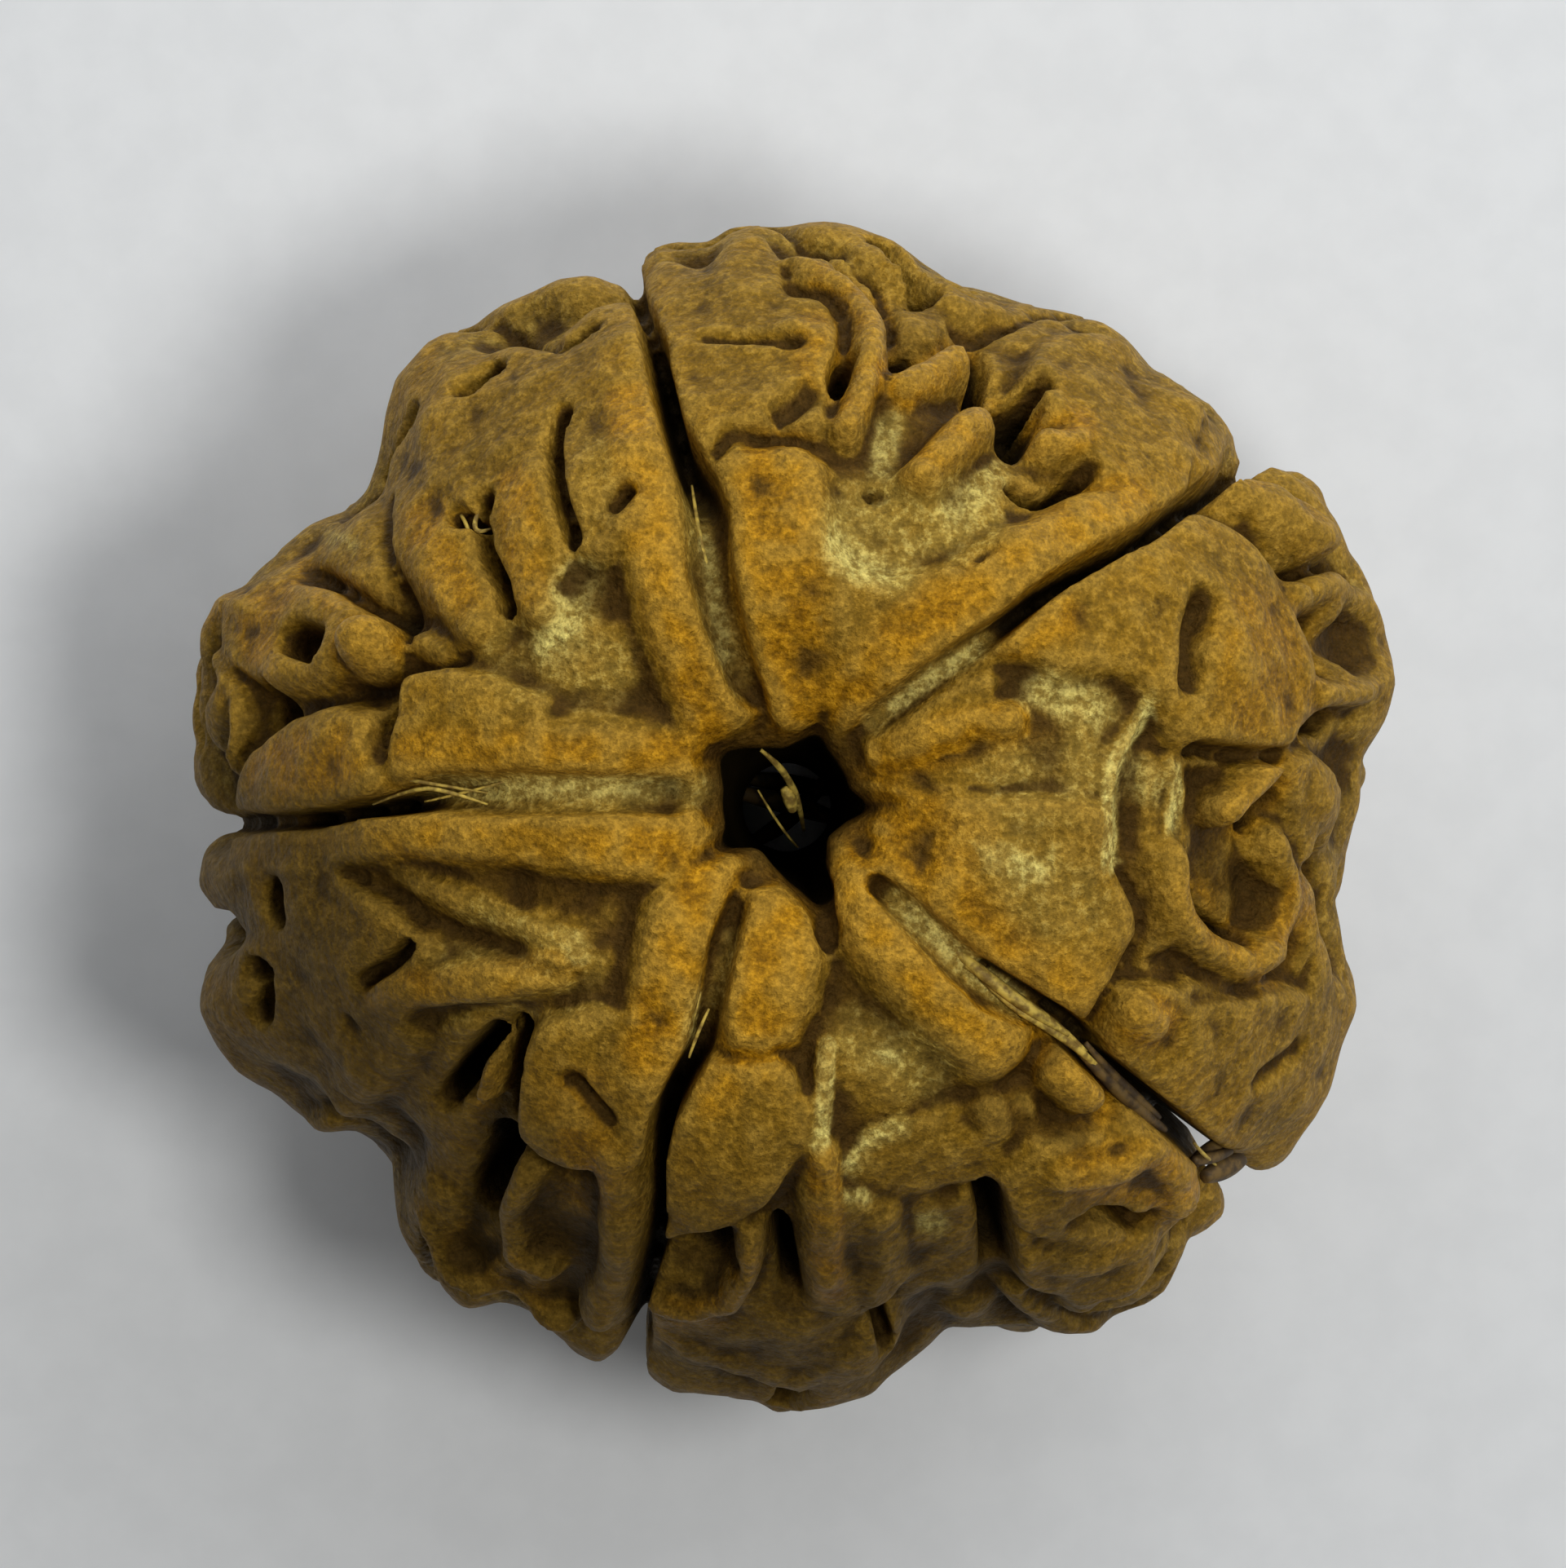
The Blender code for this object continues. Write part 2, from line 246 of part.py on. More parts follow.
# Pits and slots of the upper side: (depth, width, points seen from above)
PITS = [
    # Mouth of the bore: its two longest arms
    (1.6, 0.4, [(0.35, 0.9), (0.5, 1.5)]),
    (1.8, 0.45, [(0.5, -1.1), (0.82, -1.9)]),
    # North face
    (1.5, 0.42, [(0.88, 7.4), (1.02, 7.75)]),
    (1.4, 0.6, [(1.95, 7.9), (2.25, 8.25)]),
    (1.8, 0.34, [(3.35, 8.3), (3.5, 7.9), (3.42, 7.35)]),
    (2.3, 0.7, [(4.0, 6.6), (4.2, 7.05)]),
    (2.0, 0.5, [(3.9, 7.25), (4.4, 7.35)]),
    (1.0, 0.3, [(1.5, 5.6), (1.72, 5.52)]),
    (0.7, 0.2, [(2.95, 4.25), (3.3, 4.3), (3.6, 4.55)]),
    (1.1, 0.4, [(4.05, 5.75), (4.45, 5.6), (4.9, 5.7), (5.25, 5.9)]),
    # East face
    (1.3, 0.3, [(8.8, 4.15), (9.5, 4.2)]),
    (1.4, 0.5, [(9.5, 3.1), (9.5, 2.55)]),
    (1.0, 0.6, [(9.35, 1.45), (9.8, 1.45)]),
    (0.9, 0.34, [(7.2, 1.0), (7.9, 0.88), (8.7, 0.85)]),
    (1.4, 0.36, [(7.5, -1.7), (7.75, -2.05), (8.15, -2.25)]),
    (1.0, 0.36, [(8.45, -0.35), (8.6, 0.1)]),
    (0.6, 0.22, [(9.05, -2.7), (9.0, -3.0)]),
    (1.3, 0.28, [(3.4, -2.75), (4.2, -3.25), (5.0, -3.75), (5.6, -4.3)]),
    # North-west face
    (1.5, 0.34, [(-3.85, 6.8), (-4.05, 6.3), (-4.0, 5.8), (-3.9, 5.3), (-3.7, 4.6)]),
    (1.4, 0.5, [(-5.05, 7.6), (-5.45, 7.15)]),
    (1.7, 0.36, [(-5.2, 5.3), (-5.3, 4.9), (-5.25, 4.4), (-5.0, 3.9), (-4.9, 3.5)]),
    (1.3, 0.4, [(-5.55, 4.95), (-5.65, 5.0)]),
    (0.7, 0.35, [(-2.95, 5.2), (-2.75, 5.45)]),
    (2.4, 0.85, [(-8.6, 2.9), (-8.35, 2.88)]),
    (1.0, 0.3, [(-7.0, 2.2), (-7.12, 1.4), (-7.05, 0.9)]),
    (0.9, 0.24, [(-6.5, 2.5), (-5.95, 2.6), (-5.6, 2.78)]),
    (1.7, 0.66, [(-9.1, 1.6), (-9.1, 1.95)]),
    (1.1, 0.6, [(-10.1, 2.2), (-10.1, 1.1)]),
    # South-west face
    (1.5, 0.5, [(-8.9, -1.55), (-8.9, -1.8)]),
    (1.1, 0.32, [(-7.3, -3.0), (-6.9, -2.75), (-6.55, -2.4)]),
    (1.3, 0.34, [(-9.1, -2.75), (-8.95, -2.78), (-8.88, -3.0), (-8.88, -3.55)]),
    (0.8, 0.7, [(-10.0, -2.0), (-9.7, -2.2)]),
    (2.2, 0.55, [(-4.78, -4.0), (-4.82, -4.9), (-4.95, -5.6)]),
    (2.7, 1.0, [(-5.2, -6.2), (-5.45, -7.0)]),
    (1.8, 0.42, [(-5.25, -4.1), (-5.75, -4.75), (-6.1, -5.25)]),
    (0.8, 0.24, [(-3.55, -4.8), (-3.15, -5.35)]),
    (1.2, 0.3, [(-6.15, -7.3), (-5.95, -7.95)]),
    # South face
    (1.8, 0.75, [(-1.45, -7.95), (-1.15, -7.9)]),
    (1.9, 0.42, [(-0.1, -7.6), (0.02, -8.15), (0.12, -8.65)]),
    (1.2, 0.3, [(1.6, -8.8), (1.75, -9.3)]),
    (0.7, 0.28, [(2.85, -6.95), (3.0, -6.9)]),
    (1.6, 0.55, [(3.5, -6.8), (3.65, -7.2), (3.7, -7.6), (3.7, -8.2)]),
    (1.2, 0.38, [(5.2, -7.0), (5.6, -6.98), (6.0, -7.15)]),
]

# Creases and dents of the upper side: (depth, width, points seen from above)
CREASES = [
    # North face
    (0.6, 0.3, [(-1.4, 8.1), (-0.6, 8.08), (0.2, 8.0)]),
    (0.8, 0.34, [(-0.02, 9.3), (0.1, 9.12), (0.5, 9.05), (0.95, 8.85), (1.1, 8.45), (1.05, 7.9)]),
    (0.65, 0.36, [(-1.25, 6.15), (-0.95, 6.45), (-0.3, 6.52), (0.5, 6.4)]),
    (0.45, 0.8, [(-0.1, 6.75), (0.4, 7.15)]),
    (0.5, 0.25, [(7.1, 6.5), (7.0, 5.7)]),
    (0.6, 0.3, [(3.0, 8.6), (3.5, 8.45), (4.0, 8.45), (4.6, 8.5), (5.4, 8.35), (6.1, 8.1)]),
    (0.7, 0.34, [(-2.3, 9.8), (-1.6, 9.72), (-0.4, 9.98), (0.3, 9.8), (1.0, 9.6), (1.7, 9.2), (2.0, 8.6)]),
    # East face
    (0.4, 1.0, [(7.15, 3.5), (7.0, 2.9), (6.95, 2.2)]),
    (0.55, 0.3, [(8.0, 5.0), (8.5, 4.45), (9.0, 3.75)]),
        (0.45, 0.35, [(5.85, -0.9), (6.3, -1.7), (6.4, -2.2), (6.1, -2.9)]),
    (0.6, 0.38, [(5.5, -3.9), (5.55, -3.3), (5.95, -2.95), (6.9, -3.0)]),
    (0.5, 0.3, [(7.1, -3.3), (8.2, -3.2)]),
    (0.3, 0.6, [(8.8, -4.1), (8.1, -4.7)]),
    (0.45, 0.6, [(9.3, -0.7), (9.5, -1.2)]),
    # North-west face
    (0.8, 0.34, [(-6.7, 7.9), (-5.9, 8.4), (-5.0, 8.4), (-4.3, 8.25), (-3.9, 7.95), (-3.3, 8.2)]),
    (0.6, 0.38, [(-9.0, 4.3), (-8.1, 4.15), (-7.5, 3.75), (-6.8, 3.6)]),
    (0.4, 0.35, [(-6.95, 5.4), (-6.95, 4.4), (-6.8, 3.7)]),
    # South-west face
    (0.6, 0.35, [(-7.6, -1.15), (-7.2, -1.45), (-6.8, -1.7), (-6.4, -2.1)]),
    (0.3, 0.5, [(-6.2, -2.1), (-5.0, -2.5), (-4.0, -2.9)]),
    (0.5, 0.5, [(-3.7, -4.7), (-3.1, -5.35)]),
    (0.5, 0.22, [(-7.6, -3.6), (-7.45, -3.9)]),
    # South face
    (0.4, 0.25, [(1.15, -7.6), (1.3, -8.7)]),
    (0.45, 0.3, [(4.0, -7.3), (4.5, -7.5)]),
    (0.45, 0.5, [(4.9, -7.1), (6.2, -7.0)]),
    (0.4, 0.25, [(0.3, -4.4), (0.3, -5.0)]),
    (0.5, 0.3, [(4.2, -8.55), (5.0, -8.72), (5.8, -8.45), (6.5, -7.9)]),
]

# The rule for the flanks and the underside, from this far above the equator
SEED = 31
FLANK_TOP = 3.9
FLANK_GROOVE_WIDTH = 0.6
FLANK_GROOVE_DEPTH = 1.6
BANK_OFFSET = 0.82
BANK_WIDTH = 1.15
BANK_LENGTHS = (4, 11)
RIDGE_SPACING = 1.42
RIDGE_STEP = 0.45
RIDGE_LENGTHS = (1.2, 6.0)
RIDGE_WIDTHS = (1.2, 1.6)
RIDGE_HEIGHTS = (0.6, 0.98)
RIDGE_CLEAR_OF_GROOVES = 1.75
RIDGE_ATTEMPTS = 6500
PITS_ON_FLANKS = 58

# The bead stands on low pads round the lower mouth of the bore, worn level by this much
PAD_RADIUS = 3.4
PAD_HEIGHT = 1.15
PAD_WIDTH = 1.7
WORN_LEVEL = 0.2


def smoothstep(share):
    share = np.clip(share, 0.0, 1.0)
    return share * share * (3.0 - 2.0 * share)


def resampled(corners, count, closed):
    """Points at even spacing along a smooth curve through the corners."""
    corners = np.array(corners, float)
    if closed:
        padded = np.vstack([corners[-1:], corners, corners[:2]])
    else:
        padded = np.vstack([2 * corners[0] - corners[1], corners, 2 * corners[-1] - corners[-2]])
    share = np.linspace(0.0, 1.0, 24, endpoint=False)[:, None]
    pieces = []
    for a, b, c, d in zip(padded, padded[1:], padded[2:], padded[3:]):
        pieces.append(0.5 * (2 * b + (c - a) * share + (2 * a - 5 * b + 4 * c - d) * share**2
                             + (3 * b - a - 3 * c + d) * share**3))
    dense = np.vstack(pieces + [padded[-2:-1]])
    along = np.concatenate([[0.0], np.cumsum(np.linalg.norm(np.diff(dense, axis=0), axis=1))])
    at = np.linspace(0.0, along[-1], count, endpoint=not closed)
    return np.stack([np.interp(at, along, dense[:, axis]) for axis in range(corners.shape[1])], axis=1)


def azimuth_of(x, y):
    return np.degrees(np.arctan2(y, x)) % 360.0


def rim_radius(azimuth):
    """Radius of the outline seen from above."""
    rim = np.array(RIM)
    angles = azimuth_of(rim[:, 0], rim[:, 1])
    order = np.argsort(angles)
    return np.interp(azimuth, angles[order], np.hypot(rim[:, 0], rim[:, 1])[order], period=360.0)


def eased_table():
    """The outline with its knobs eased away, one radius a degree."""
    degrees = np.arange(360.0)
    radii = rim_radius(degrees)
    gap = (degrees + 180.0) % 360.0 - 180.0
    weights = np.exp(-0.5 * (gap / RIM_EASE_DEGREES) ** 2)
    weights /= weights.sum()
    return np.real(np.fft.ifft(np.fft.fft(radii) * np.fft.fft(weights)))


EASED = eased_table()
SKIN_LINE = resampled(SKIN, 400, False)
SKIN_LENGTH = float(np.linalg.norm(np.diff(SKIN_LINE, axis=0), axis=1).sum())
WIDEST = int(np.argmax(SKIN_LINE[:, 0]))
EQUATOR = WIDEST * SKIN_LENGTH / (len(SKIN_LINE) - 1)


def swelled(azimuth, radius):
    """Where the lobed outline puts a radius of the turned section."""
    eased = np.interp(azimuth, np.arange(360.0), EASED, period=360.0)
    share = smoothstep((radius - LOBED_FROM) / (LOBED_FULLY - LOBED_FROM))
    return radius * (1.0 + share * (eased / SKIN_RADIUS - 1.0))


def seen_from_above(x, y, drop=0.0):
    """The point of the upper skin whose place, that far down its normal, is seen from above at (x, y)."""
    upper = SKIN_LINE[:WIDEST + 1]
    step = np.gradient(upper, axis=0)
    outward = -step[:, 1] / np.hypot(step[:, 0], step[:, 1])
    radii = swelled(azimuth_of(x, y), upper[:, 0])
    seen = np.maximum.accumulate(radii - drop * outward)
    radius = math.hypot(x, y)
    out = float(np.interp(radius, seen, radii)) / radius
    return x * out, y * out, float(np.interp(radius, seen, upper[:, 1]))


def on_skin(azimuth, station):
    """The point of the skin at an azimuth and a distance along the section from the upper mouth."""
    spacing = SKIN_LENGTH / (len(SKIN_LINE) - 1)
    radius = np.interp(station / spacing, np.arange(len(SKIN_LINE)), SKIN_LINE[:, 0])
    height = np.interp(station / spacing, np.arange(len(SKIN_LINE)), SKIN_LINE[:, 1])
    out = swelled(azimuth, radius)
    angle = math.radians(azimuth)
    return np.array([out * math.cos(angle), out * math.sin(angle), height])


def turned_body():
    """The section turned round the axis of the bore, its outline swelled and its mouth drawn into a star."""
    section = resampled(SKIN + BORE, SECTION_POINTS, True)
    profile = bpy.data.meshes.new("section")
    count = len(section)
    edges = [(i, (i + 1) % count) for i in range(count)]
    profile.from_pydata([(radius, 0.0, height) for radius, height in section], edges, [])
    turned = bpy.data.objects.new("section", profile)
    bpy.context.scene.collection.objects.link(turned)
    screw = turned.modifiers.new("Turn", "SCREW")
    screw.axis = "Z"
    screw.steps = TURN_STEPS
    screw.render_steps = TURN_STEPS
    screw.use_merge_vertices = True
    screw.merge_threshold = 0.0001
    mesh = evaluated_mesh(turned)
    bpy.data.objects.remove(turned)
    points = points_of(mesh)
    azimuth = azimuth_of(points[:, 0], points[:, 1])
    radius = np.hypot(points[:, 0], points[:, 1])
    out = swelled(azimuth, radius)
    angles, arms = zip(*STAR)
    mouth = SKIN[0][0]
    star = np.interp(azimuth, angles, arms, period=360.0) / mouth
    near = 1.0 - smoothstep((radius - mouth) / (STAR_REACH - mouth))
    deep = smoothstep((points[:, 2] - (SKIN[0][1] - STAR_DEPTH)) / STAR_DEPTH)
    out *= 1.0 + near * deep * (star - 1.0)
    points[:, :2] *= (out / radius)[:, None]
    put_points(mesh, points)
    return mesh


def evaluated_mesh(obj):
    graph = bpy.context.evaluated_depsgraph_get()
    return bpy.data.meshes.new_from_object(obj.evaluated_get(graph))


def points_of(mesh):
    points = np.empty(len(mesh.vertices) * 3, np.float32)
    mesh.vertices.foreach_get("co", points)
    return points.reshape(-1, 3).astype(float)


def normals_of(mesh):
    normals = np.empty(len(mesh.vertices) * 3, np.float32)
    mesh.vertex_normals.foreach_get("vector", normals)
    return normals.reshape(-1, 3).astype(float)


def put_points(mesh, points):
    mesh.vertices.foreach_set("co", points.astype(np.float32).ravel())
    mesh.update()


def along_stroke(points, path, widths, values, reach=1.0):
    """Share of the half width, and the value there, at each point's nearest place on a path. Far points get 9."""
    path = np.array(path, float)
    reach *= max(widths) / 2
    best = np.full(len(points), 9.0)
    value = np.zeros(len(points))
    low, high = path.min(axis=0) - reach, path.max(axis=0) + reach
    near = np.nonzero(((points > low) & (points < high)).all(axis=1))[0]
    local = points[near]
    for i in range(len(path) - 1):
        step = path[i + 1] - path[i]
        share = np.clip((local - path[i]) @ step / max(step @ step, 1e-9), 0.0, 1.0)
        distance = np.linalg.norm(local - path[i] - share[:, None] * step, axis=1)
        width = widths[i] + share * (widths[i + 1] - widths[i])
        part = 2.0 * distance / width
        closer = part < best[near]
        best[near[closer]] = part[closer]
        value[near[closer]] = (values[i] + share * (values[i + 1] - values[i]))[closer]
    return best, value


def plate_share(points, outline, edge):
    """How much of a plate's level each point gets, falling from all to none across its edge."""
    corners = np.array(outline, float)
    low, high = corners.min(axis=0) - edge, corners.max(axis=0) + edge
    inside_box = (points[:, 2] > 0) & (points[:, :2] > low).all(axis=1) & (points[:, :2] < high).all(axis=1)
    near = np.nonzero(inside_box)[0]
    local = points[near, :2]
    distance = np.full(len(near), 9.0)
    inside = np.zeros(len(near), bool)
    for start, end in zip(corners, np.roll(corners, -1, axis=0)):
        step = end - start
        share = np.clip((local - start) @ step / (step @ step), 0.0, 1.0)
        distance = np.minimum(distance, np.linalg.norm(local - start - share[:, None] * step, axis=1))
        crosses = (start[1] > local[:, 1]) != (end[1] > local[:, 1])
        rise = np.where(crosses, (local[:, 1] - start[1]) / (step[1] if step[1] else 1.0), 0.0)
        inside ^= crosses & (local[:, 0] < start[0] + rise * step[0])
    result = np.zeros(len(points))
    signed = np.where(inside, distance, -distance)
    result[near] = smoothstep(EDGE_SHARE + signed / edge)
    return result


def upright(share):
    """Height of a peg with upright sides across its half width."""
    return np.where(share < 1.0, np.clip(1.0 - np.minimum(share, 1.0) ** 2.4, 0.0, 1.0) ** 0.6, 0.0)


def sloping(share):
    """Height of a ridge with sloping sides across its half width and as far again."""
    return smoothstep(1.35 - 0.9 * share)


def walled(share):
    """Depth of a steep-walled cut across its half width."""
    return np.where(share < 1.0, 1.0 - np.minimum(share, 1.0) ** 4, 0.0)


def melted(first, second):
    """The higher of two surfaces, run together where they meet."""
    near = np.clip(MELTED - np.abs(first - second), 0.0, None) / MELTED
    return np.maximum(first, second) + near * near * MELTED / 4.0


def flank_groove(name):
    """A groove's course from the rim round the underside to the lower mouth, as points with width and depth."""
    end = GROOVES[name][-1]
    azimuth = float(azimuth_of(end[0], end[1]))
    course = []
    for i in range(25):
        share = i / 24
        station = EQUATOR + share * (SKIN_LENGTH - EQUATOR)
        sway = 2.2 * math.sin(share * 7.0 + azimuth)
        width = FLANK_GROOVE_WIDTH * (1.0 + 0.25 * math.sin(share * 19.0 + azimuth))
        course.append((on_skin(azimuth + sway, station), width, FLANK_GROOVE_DEPTH))
    return course


def groove_strokes():
    """All five grooves, each as (points, widths, depths)."""
    strokes = []
    for name, marks in GROOVES.items():
        course = [(np.array(seen_from_above(x, y)), width, depth) for x, y, width, depth in marks]
        course += flank_groove(name)
        strokes.append(tuple(zip(*course)))
    return strokes


def clear_of(point, others, spacing):
    return not len(others) or np.min(np.linalg.norm(others - point, axis=1)) > spacing


def groove_banks(rng):
    """Broken ridges that follow both sides of each groove down the flank and under the bead."""
    strokes = []
    for name in GROOVES:
        course = resampled(np.array([point for point, _, _ in flank_groove(name)]), 60, False)
        for side in (-1.0, 1.0):
            start = 0
            while start < len(course) - 4:
                count = rng.randint(*BANK_LENGTHS)
                path = []
                for point in course[start:start + count]:
                    radius = math.hypot(point[0], point[1])
                    turn = side * (BANK_OFFSET + rng.gauss(0.0, 0.05)) / max(radius, 2.2)
                    path.append(Matrix.Rotation(turn, 3, "Z") @ Vector(point))
                if len(path) > 2:
                    widths = [BANK_WIDTH * rng.uniform(0.8, 1.15) for _ in path]
                    strokes.append((path, widths, [rng.uniform(0.65, 1.0)] * len(path)))
                start += count + rng.randint(1, 3)
    return strokes


def flank_ridges(rng, grooves):
    """Ridges that wander over the flanks and the underside, each keeping clear of the others and of the grooves."""
    groove_points = np.vstack([resampled(np.array(points), 160, False) for points, _, _ in grooves])
    taken = []
    strokes = []
    for attempt in range(RIDGE_ATTEMPTS):
        azimuth = rng.uniform(0.0, 360.0)
        station = rng.uniform(EQUATOR - FLANK_TOP, SKIN_LENGTH - 0.6)
        heading = rng.gauss(90.0, 40.0)
        goal = rng.uniform(*RIDGE_LENGTHS)
        path = []
        while len(path) * RIDGE_STEP < goal and EQUATOR - FLANK_TOP <= station < SKIN_LENGTH - 0.4:
            point = on_skin(azimuth, station)
            near_groove = not clear_of(point, groove_points, RIDGE_CLEAR_OF_GROOVES)
            if near_groove or not clear_of(point, np.array(taken), RIDGE_SPACING):
                break
            path.append(point)
            heading += rng.gauss(0.0, 16.0)
            across = RIDGE_STEP * math.cos(math.radians(heading))
            azimuth += math.degrees(across / max(1.0, math.hypot(point[0], point[1])))
            station += RIDGE_STEP * math.sin(math.radians(heading))
        if not path:
            continue
        if len(path) == 1:
            path.append(path[0] + 0.1)
        taken += path
        width = rng.uniform(*RIDGE_WIDTHS)
        widths = [width * rng.uniform(0.85, 1.15) for _ in path]
        strokes.append((path, widths, [rng.uniform(*RIDGE_HEIGHTS)] * len(path)))
    return strokes


def flank_pits(rng):
    """Small deep pits scattered over the flanks and the underside."""
    strokes = []
    for pit in range(PITS_ON_FLANKS):
        azimuth = rng.uniform(0.0, 360.0)
        station = rng.uniform(EQUATOR - 0.7 * FLANK_TOP, SKIN_LENGTH - 1.5)
        length = rng.uniform(0.1, 1.3)
        width = rng.uniform(0.35, 0.6)
        start = on_skin(azimuth, station)
        end = on_skin(azimuth + rng.gauss(0.0, 4.0), station + length)
        strokes.append(([start, end], [width, width * 0.8], [rng.uniform(0.8, 1.6)] * 2))
    return strokes


def pad_strokes():
    """One low pad under each face, on which the bead stands."""
    strokes = []
    for degrees in sorted(azimuth_of(*marks[-1][:2]) for marks in GROOVES.values()):
        azimuth = float(degrees) + 36.0
        station = SKIN_LENGTH - (PAD_RADIUS - SKIN[-1][0])
        start, end = on_skin(azimuth, station - 0.5), on_skin(azimuth, station + 0.5)
        strokes.append(([start, end], [PAD_WIDTH] * 2, [PAD_HEIGHT] * 2))
    return strokes


def upper_strokes(marks, drop=None):
    """Strokes of the upper side as (points, widths, values), from (value, width, places seen from above).

    Without a drop, the values are levels, and each stroke is seen at its own."""
    strokes = []
    for value, width, places in marks:
        fall = max(0.0, CREST - value) if drop is None else drop
        points = [np.array(seen_from_above(x, y, fall)) for x, y in places]
        strokes.append((points, [width] * len(points), [value] * len(points)))
    return strokes


def levels(points, normals):
    """Level that the plates, ridges and pegs give each point of the skin."""
    rng = random.Random(SEED)
    radius = np.hypot(points[:, 0], points[:, 1])
    start, end = MIDDLE_REACH
    outer = np.where(points[:, 2] > 0, smoothstep((radius - start) / (end - start)), 1.0)
    level = MIDDLE_LEVEL + outer * (OUTER_LEVEL - MIDDLE_LEVEL)
    band = smoothstep(1.5 - 1.5 * np.abs(points[:, 2] - BAND_MIDDLE) / BAND_REACH)
    level = np.maximum(level, BAND_LEVEL * band)
    for height, edge, outline in PLATES:
        share = plate_share(points - normals * max(0.0, CREST - height), outline, edge)
        level = np.where(share > 0, melted(level, height * share), level)
    flank = groove_banks(rng) + flank_ridges(rng, groove_strokes()) + pad_strokes()
    for strokes, profile, reach in ((upper_strokes(RIDGES), sloping, 1.5), (upper_strokes(PEGS) + flank, upright, 1.0)):
        for path, widths, heights in strokes:
            share, height = along_stroke(points, path, widths, heights, reach)
            shaped = height * profile(share)
            level = np.where(shaped > 0, melted(level, shaped), level)
    return level


def grooved(points, height):
    """Heights over the skin, after the grooves, pits and creases are cut."""
    rng = random.Random(SEED + 1)
    for path, widths, depths in groove_strokes():
        share, depth = along_stroke(points, path, widths, depths)
        height = np.minimum(height, np.where(share < 1.0, -depth * walled(share), 9.0))
    cut = np.zeros(len(points))
    for path, widths, depths in upper_strokes(PITS, CUT_DROP) + flank_pits(rng):
        share, depth = along_stroke(points, path, widths, depths)
        cut = np.maximum(cut, depth * walled(share))
    for path, widths, depths in upper_strokes(CREASES, CUT_DROP):
        share, depth = along_stroke(points, path, widths, depths)
        cut = np.maximum(cut, depth * smoothstep(1.0 - share))
    return height - cut


def grain(points, scale, seed):
    """Smooth random numbers, about -1 to 1, over the surface."""
    shift = Vector((seed * 7.3, seed * 3.1, seed * 5.7))
    return np.array([noise.noise(Vector(point) * scale + shift) for point in points]) * 2.0


def spread_to_rim(points):
    """Points near the equator moved in or out, so that the widest at each azimuth meets the outline.

    A narrow belt there is filled part of the way out, so that the outline has no gaps between its knobs."""
    azimuth = azimuth_of(points[:, 0], points[:, 1])
    radius = np.hypot(points[:, 0], points[:, 1])
    widest = np.zeros(RIM_SECTORS)
    sector = (azimuth / 360.0 * RIM_SECTORS).astype(int) % RIM_SECTORS
    np.maximum.at(widest, sector, radius)
    widest = np.maximum(widest, np.maximum(np.roll(widest, 1), np.roll(widest, -1)))
    middles = (np.arange(RIM_SECTORS) + 0.5) * 360.0 / RIM_SECTORS
    rim = rim_radius(azimuth)
    wanted = rim / np.interp(azimuth, middles, widest, period=360.0)
    share = smoothstep(1.5 - 1.5 * np.abs(points[:, 2] - RIM_MIDDLE) / RIM_HEIGHT)
    out = np.minimum(radius * (1.0 + (wanted - 1.0) * share), rim)
    belt = RIM_FILL * smoothstep(1.5 - 1.5 * np.abs(points[:, 2] - RIM_MIDDLE) / RIM_BELT)
    out = np.where(out > 6.0, out + (rim - out) * belt, radius)
    points[:, :2] *= (out / radius)[:, None]
    return points


def shaped_mesh():
    """The turned body with its relief raised and cut."""
    mesh = turned_body()
    skin = points_of(mesh)
    normals = normals_of(mesh)
    height = levels(skin, normals) - CREST + 0.08 * grain(skin, 0.8, 1) + 0.04 * grain(skin, 2.1, 2)
    outside = smoothstep((np.hypot(skin[:, 0], skin[:, 1]) - 1.0) / 0.5)
    points = spread_to_rim(skin + normals * (height * outside)[:, None])
    points += normals * ((grooved(skin, height) - height) * outside)[:, None]
    put_points(mesh, points)
    return mesh


def largest_body(mesh):
    """Only the largest connected body of a mesh."""
    work = bmesh.new()
    work.from_mesh(mesh)
    left = set(work.verts)
    bodies = []
    while left:
        seed = left.pop()
        body = {seed}
        edge_of_body = [seed]
        while edge_of_body:
            vertex = edge_of_body.pop()
            for edge in vertex.link_edges:
                other = edge.other_vert(vertex)
                if other in left:
                    left.discard(other)
                    body.add(other)
                    edge_of_body.append(other)
        bodies.append(body)
    keep = max(bodies, key=len)
    bmesh.ops.delete(work, geom=[v for v in work.verts if v not in keep], context="VERTS")
    work.to_mesh(mesh)
    work.free()


